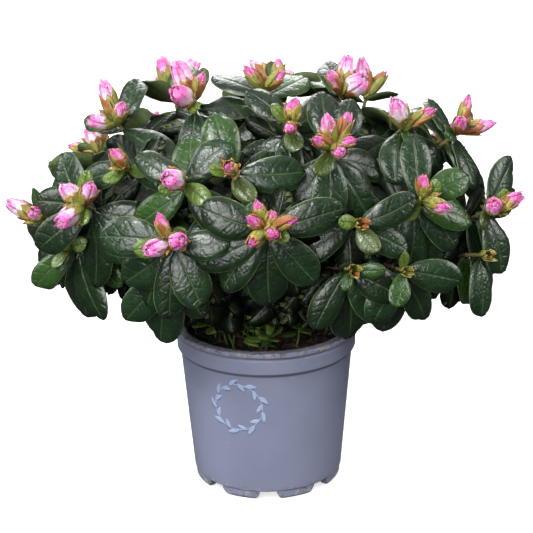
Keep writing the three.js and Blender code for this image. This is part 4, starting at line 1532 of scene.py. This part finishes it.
def pot_finish():
    """Matte moulded plastic with a fine grain, painted shade in the grooves, and dried soil on rim, ledge
    and foot.
    """
    made = Finish("pot_finish", specular_ior_level=0.35)
    height, top = made.axis("Z"), POT["height"]
    cloud = made.noise(26, 3, 0.55)
    grain = made.noise(0.5, 2, 0.6)
    base = made.shades(colours("pot"), cloud.rise(0.25, 0.75), 0.96, 1.04)
    ledge = height.rise(top - 5, top - 0.8) * (1 - height.rise(top + 0.4, top + 1))
    foot = height.rise(11, 3)
    smear = made.noise(4, 4, 0.7, stretch=(1, 1, 0.6)).rise(0.46, 0.6)
    speck = made.noise(1, 3, 0.7).rise(0.53, 0.6)
    dirt = (ledge + foot).least(1) * (smear * 0.7 + speck * smear.rise(0.1, 0.7, 0.3)).least(1)
    stray = made.cells(24).rise(0.045, 0.02)
    # Painted shade: the pot's colour is darkened in the groove under the lip and on the step under the
    # collar, where shade falls.
    groove = height.rise(top - 6, top - 4.6) * height.rise(top - 2.8, top - 3.6)
    step = height.rise(POT_STEP - 0.8, POT_STEP + 0.6) * height.rise(POT_STEP + 3, POT_STEP + 1.6)
    ink_wear_and_groove_shade = made.mix((groove + step).least(1) * 0.62, base, made.shades(colours("pot"), 0, 0.45))
    earth = made.mix(made.noise(3.1, 2).rise(0.45, 0.58), colours("dirt"), colours("fibre"))
    made.set(base_color=made.mix((dirt * 0.85 + stray * 0.4).least(0.9), ink_wear_and_groove_shade, earth))
    made.set(roughness=(cloud * 0.1 + 0.4 + dirt * 0.3).least(0.9))
    made.set(normal=made.bump(grain * 0.4 + dirt * 1.2, 0.09))
    return made.material


WREATH = dict(marks=18, long=8.4, wide=3.5, lean=0.55, aside=-19.5, lift=0.09, ring=0.35, around=96)


def on_wall(x, z, lift):
    """Points on the pot's tapering wall, x and z from the print's middle, lifted off the axis."""
    height = in_mm("wreath_height") + z
    low = POT["foot_height"] + POT["bevel"]
    share = (height - low) / (POT_STEP - low)
    radius = mix((POT["wall_foot_radius"], POT["wall_top_radius"]), share) + lift
    angle = -math.pi / 2 + (WREATH["aside"] + x) / radius
    return on_circle(radius, angle, height)


def wreath_piece():
    """A printed ring of leaf marks: thin blades laid on the wall, alternately leaning in and out.

    A mark's half width is half the full width times sin(180 v^0.8), and its lean turns it about its
    place on the ring. The ring itself is a thin band of four rails.
    """
    pattern = blade(6, (-1, -0.5, 0, 0.5, 1), UNDER)
    v, u, layer = pattern["v"], pattern["u"], pattern["layer"]
    lean = np.where(np.arange(WREATH["marks"]) % 2, WREATH["lean"], -WREATH["lean"])[:, None]
    ring, lift = in_mm("wreath_radius"), WREATH["lift"]
    ahead = (v - 0.1) * WREATH["long"]
    aside = -u * WREATH["wide"] * 0.5 * np.sin(math.pi * v**0.8)
    out = ring + ahead * np.sin(lean) + aside * np.cos(lean)
    turn = turns(WREATH["marks"])[:, None] + (ahead * np.cos(lean) - aside * np.sin(lean)) / ring
    pile = Pile()
    marks = on_wall(out * np.sin(turn), out * np.cos(turn), lift * (1 - 2 * layer))
    add_blades(pile, pattern, marks, lambda places: 0)
    around, inner, outer = WREATH["around"], ring - WREATH["ring"], ring + WREATH["ring"]
    turn = turns(around)
    edges = ((inner, lift), (outer, lift), (outer, -lift), (inner, -lift))
    rails = [on_wall(radius * np.sin(turn), radius * np.cos(turn), rise) for radius, rise in edges]
    quads = grid_quads(around + 1, len(rails), around=True) % (around * len(rails))
    pile.add(np.stack(rails, axis=1), quads[:, ::-1])
    ink = Finish("print_ink", specular_ior_level=0.3)
    ink_wear_and_groove_shade = ink.noise(1.2, 3, 0.7).rise(0.25, 0.4)
    ink.set(base_color=ink.mix(ink_wear_and_groove_shade, colours("pot"), colours("print")))
    ink.set(roughness=ink.noise(4, 2).rise(0.3, 0.7, 0.42, 0.55))
    pile.piece("printed_wreath", [ink.material], ["pot"], "pot_plastic")


# ---- studio ----

IMAGE_SIDE = 533
FOCAL_PIXELS = 1646
SENSOR = 36
AIM = Vector((0, 0, 0.110))
AIM_IMAGE = (265.3, 317.8)
STAGE_RADIUS = 6000
FLOOR_GLOW, AIR_GLOW = 0.66, 0.07
DISTANCE, ELEVATION, ROLL = 1.1, math.radians(20.8), math.radians(-0.8)
# Each lamp's place and the height that it faces, its width and height in metres, and its power.
SOFTBOXES = dict(
    front=((-0.5, -1.35, 1.1), 0.15, (0.8, 1.2), 23),
    key=((-0.55, -0.9, 1.3), 0.15, (0.3, 0.3), 14),
    low=((-0.35, -1.75, 0.55), 0.15, (1.3, 0.6), 14),
    left=((-1.4, 0.3, 1.0), 0.12, (0.7, 0.9), 14),
    right=((1.4, -0.2, 0.9), 0.12, (0.7, 0.9), 17),
    back=((-0.1, 1.2, 1.1), 0.15, (1.0, 0.8), 24),
)


def camera():
    """The camera: it stands back from the aim point, then turns so that this falls where wanted."""
    data = bpy.data.cameras.new("studio_camera")
    data.lens = FOCAL_PIXELS * SENSOR / IMAGE_SIDE
    data.sensor_width = SENSOR
    made = in_scene("studio_camera", data)
    back = Vector((0, -math.cos(ELEVATION), math.sin(ELEVATION)))
    level = (-back).to_track_quat("-Z", "Y").to_matrix()
    aside = math.atan((AIM_IMAGE[0] - IMAGE_SIDE / 2) / FOCAL_PIXELS)
    down = math.atan((AIM_IMAGE[1] - IMAGE_SIDE / 2) / FOCAL_PIXELS)
    for angle, axis in ((down, "X"), (aside, "Y"), (ROLL, "Z")):
        level = level @ Matrix.Rotation(angle, 3, axis)
    made.matrix_world = Matrix.Translation(AIM + back * DISTANCE) @ level.to_4x4()
    bpy.context.scene.camera = made


def lamp(name, place, aim, size, power):
    """A soft light, size wide and high in metres, that faces a point aim high on the axis."""
    data = bpy.data.lights.new(name, "AREA")
    data.shape, data.size, data.size_y, data.energy = "RECTANGLE", *size, power
    made = in_scene(name, data)
    place = Vector(place)
    facing = (Vector((0, 0, aim)) - place).to_track_quat("-Z", "Y")
    made.matrix_world = Matrix.Translation(place) @ facing.to_matrix().to_4x4()
    made.visible_camera = False


def stage_piece(name, points, faces, finish):
    """A piece of the studio, which the camera sees and which lights nothing."""
    mesh = bpy.data.meshes.new(name)
    mesh.from_pydata(points, [], faces)
    mesh.materials.append(finish)
    made = in_scene(name, mesh)
    made.visible_diffuse = made.visible_glossy = made.visible_transmission = made.visible_shadow = False


def studio():
    """Pale floor, a white dome behind it, and soft lamps."""
    floor = Finish(
        "floor_finish", base_color=colours("floor"), roughness=0.9, specular_ior_level=0.1,
        emission_strength=1,
    )
    away = (floor.axis("X") ** 2 + floor.axis("Y") ** 2) ** 0.5
    floor.set(emission_color=floor.mix(away.rise(250, 1100), (FLOOR_GLOW,) * 3, (1, 1, 1)))
    side = STAGE_RADIUS * METRES
    corners = [(x, y, -0.0004) for x, y in ((-side, -side), (side, -side), (side, side), (-side, side))]
    stage_piece("studio_floor", corners, [(0, 1, 2, 3)], floor.material)
    backdrop = Finish(
        "backdrop_finish", base_color=(0, 0, 0), emission_color=(1, 1, 1), emission_strength=1,
    )
    rows, around = 24, 48
    rise = np.linspace(-0.1, math.pi / 2, rows)[:, None]
    dome = on_circle(np.cos(rise), turns(around), np.sin(rise))
    points = (dome.reshape(-1, 3) * side * 0.9).tolist()
    faces = grid_quads(rows, around, around=True).tolist()
    stage_piece("studio_backdrop", points, faces, backdrop.material)
    world = bpy.data.worlds.new("studio_surroundings")
    world.use_nodes = True
    air = world.node_tree.nodes["Background"].inputs
    air["Color"].default_value = (1, 1, 1, 1)
    air["Strength"].default_value = AIR_GLOW
    bpy.context.scene.world = world
    for name, setting in SOFTBOXES.items():
        lamp(f"softbox_{name}", *setting)
    sky = bpy.data.lights.new("ceiling", "SUN")
    sky.energy, sky.angle = 0.6, math.radians(60)
    in_scene("ceiling", sky).rotation_euler = (math.radians(-12), math.radians(8), 0)
    bpy.context.scene.view_settings.view_transform = "Standard"
    camera()


# ---- operators, panel and main ----


class AZALEA_OT_pot(bpy.types.Operator):
    """Turns the pot and lays the printed ring of leaf marks on it."""

    bl_idname = "azalea.pot"
    bl_label = "Pot and Print"

    def execute(self, context):
        pot_piece()
        wreath_piece()
        return {"FINISHED"}


class AZALEA_OT_soil(bpy.types.Operator):
    """Fills the pot with lumpy soil, crumbs and fibres."""

    bl_idname = "azalea.soil"
    bl_label = "Soil"

    def execute(self, context):
        soil_piece()
        return {"FINISHED"}


class AZALEA_OT_wood(bpy.types.Operator):
    """Grows the woody limbs with their bark relief."""

    bl_idname = "azalea.wood"
    bl_label = "Stem, Boughs and Twigs"

    def execute(self, context):
        bark = bark_finish("bark_finish", "bark")
        limb_piece(crown(), bark)
        twig_piece(crown(), bark)
        return {"FINISHED"}


class AZALEA_OT_leaves(bpy.types.Operator):
    """Grows the quilted leaves on the shoots."""

    bl_idname = "azalea.leaves"
    bl_label = "Leaves"

    def execute(self, context):
        leaf_pieces()
        return {"FINISHED"}


class AZALEA_OT_buds(bpy.types.Operator):
    """Wraps petals and scales round each bud."""

    bl_idname = "azalea.buds"
    bl_label = "Buds"

    def execute(self, context):
        bud_pieces()
        return {"FINISHED"}


class AZALEA_OT_sprigs(bpy.types.Operator):
    """Grows the low sprigs on the soil."""

    bl_idname = "azalea.sprigs"
    bl_label = "Sprigs"

    def execute(self, context):
        sprig_piece()
        return {"FINISHED"}


class AZALEA_OT_stage(bpy.types.Operator):
    """Lays the floor and sets the lamps and the camera."""

    bl_idname = "azalea.stage"
    bl_label = "Studio"

    def execute(self, context):
        studio()
        return {"FINISHED"}


OPERATORS = (
    AZALEA_OT_pot, AZALEA_OT_soil, AZALEA_OT_wood, AZALEA_OT_leaves, AZALEA_OT_buds, AZALEA_OT_sprigs,
    AZALEA_OT_stage,
)


class AZALEA_PT_panel(bpy.types.Panel):
    """Lists the steps, sizes and colours of the pot azalea."""

    bl_label = "Pot Azalea"
    bl_idname = "AZALEA_PT_panel"
    bl_space_type = "VIEW_3D"
    bl_region_type = "UI"
    bl_category = "Azalea"

    def draw(self, context):
        for step in OPERATORS:
            self.layout.operator(step.bl_idname)
        for group in (context.scene.azalea_sizes, context.scene.azalea_colours):
            for name in group.bl_rna.properties.keys():
                if name not in ("rna_type", "name"):
                    self.layout.prop(group, name)


CLASSES = (AZALEA_PG_sizes, AZALEA_PG_colours, *OPERATORS, AZALEA_PT_panel)


def register():
    """Registers the classes and hangs the sizes and colours on the scene."""
    for item in CLASSES:
        bpy.utils.register_class(item)
    bpy.types.Scene.azalea_sizes = bpy.props.PointerProperty(type=AZALEA_PG_sizes)
    bpy.types.Scene.azalea_colours = bpy.props.PointerProperty(type=AZALEA_PG_colours)


def unregister():
    """Takes the properties and the classes away again."""
    del bpy.types.Scene.azalea_colours
    del bpy.types.Scene.azalea_sizes
    for item in reversed(CLASSES):
        bpy.utils.unregister_class(item)


def main():
    """Makes every piece and the studio."""
    register()
    for step in OPERATORS:
        family, name = step.bl_idname.split(".")
        getattr(getattr(bpy.ops, family), name)()
    bpy.context.view_layer.update()


if __name__ == "__main__":
    main()
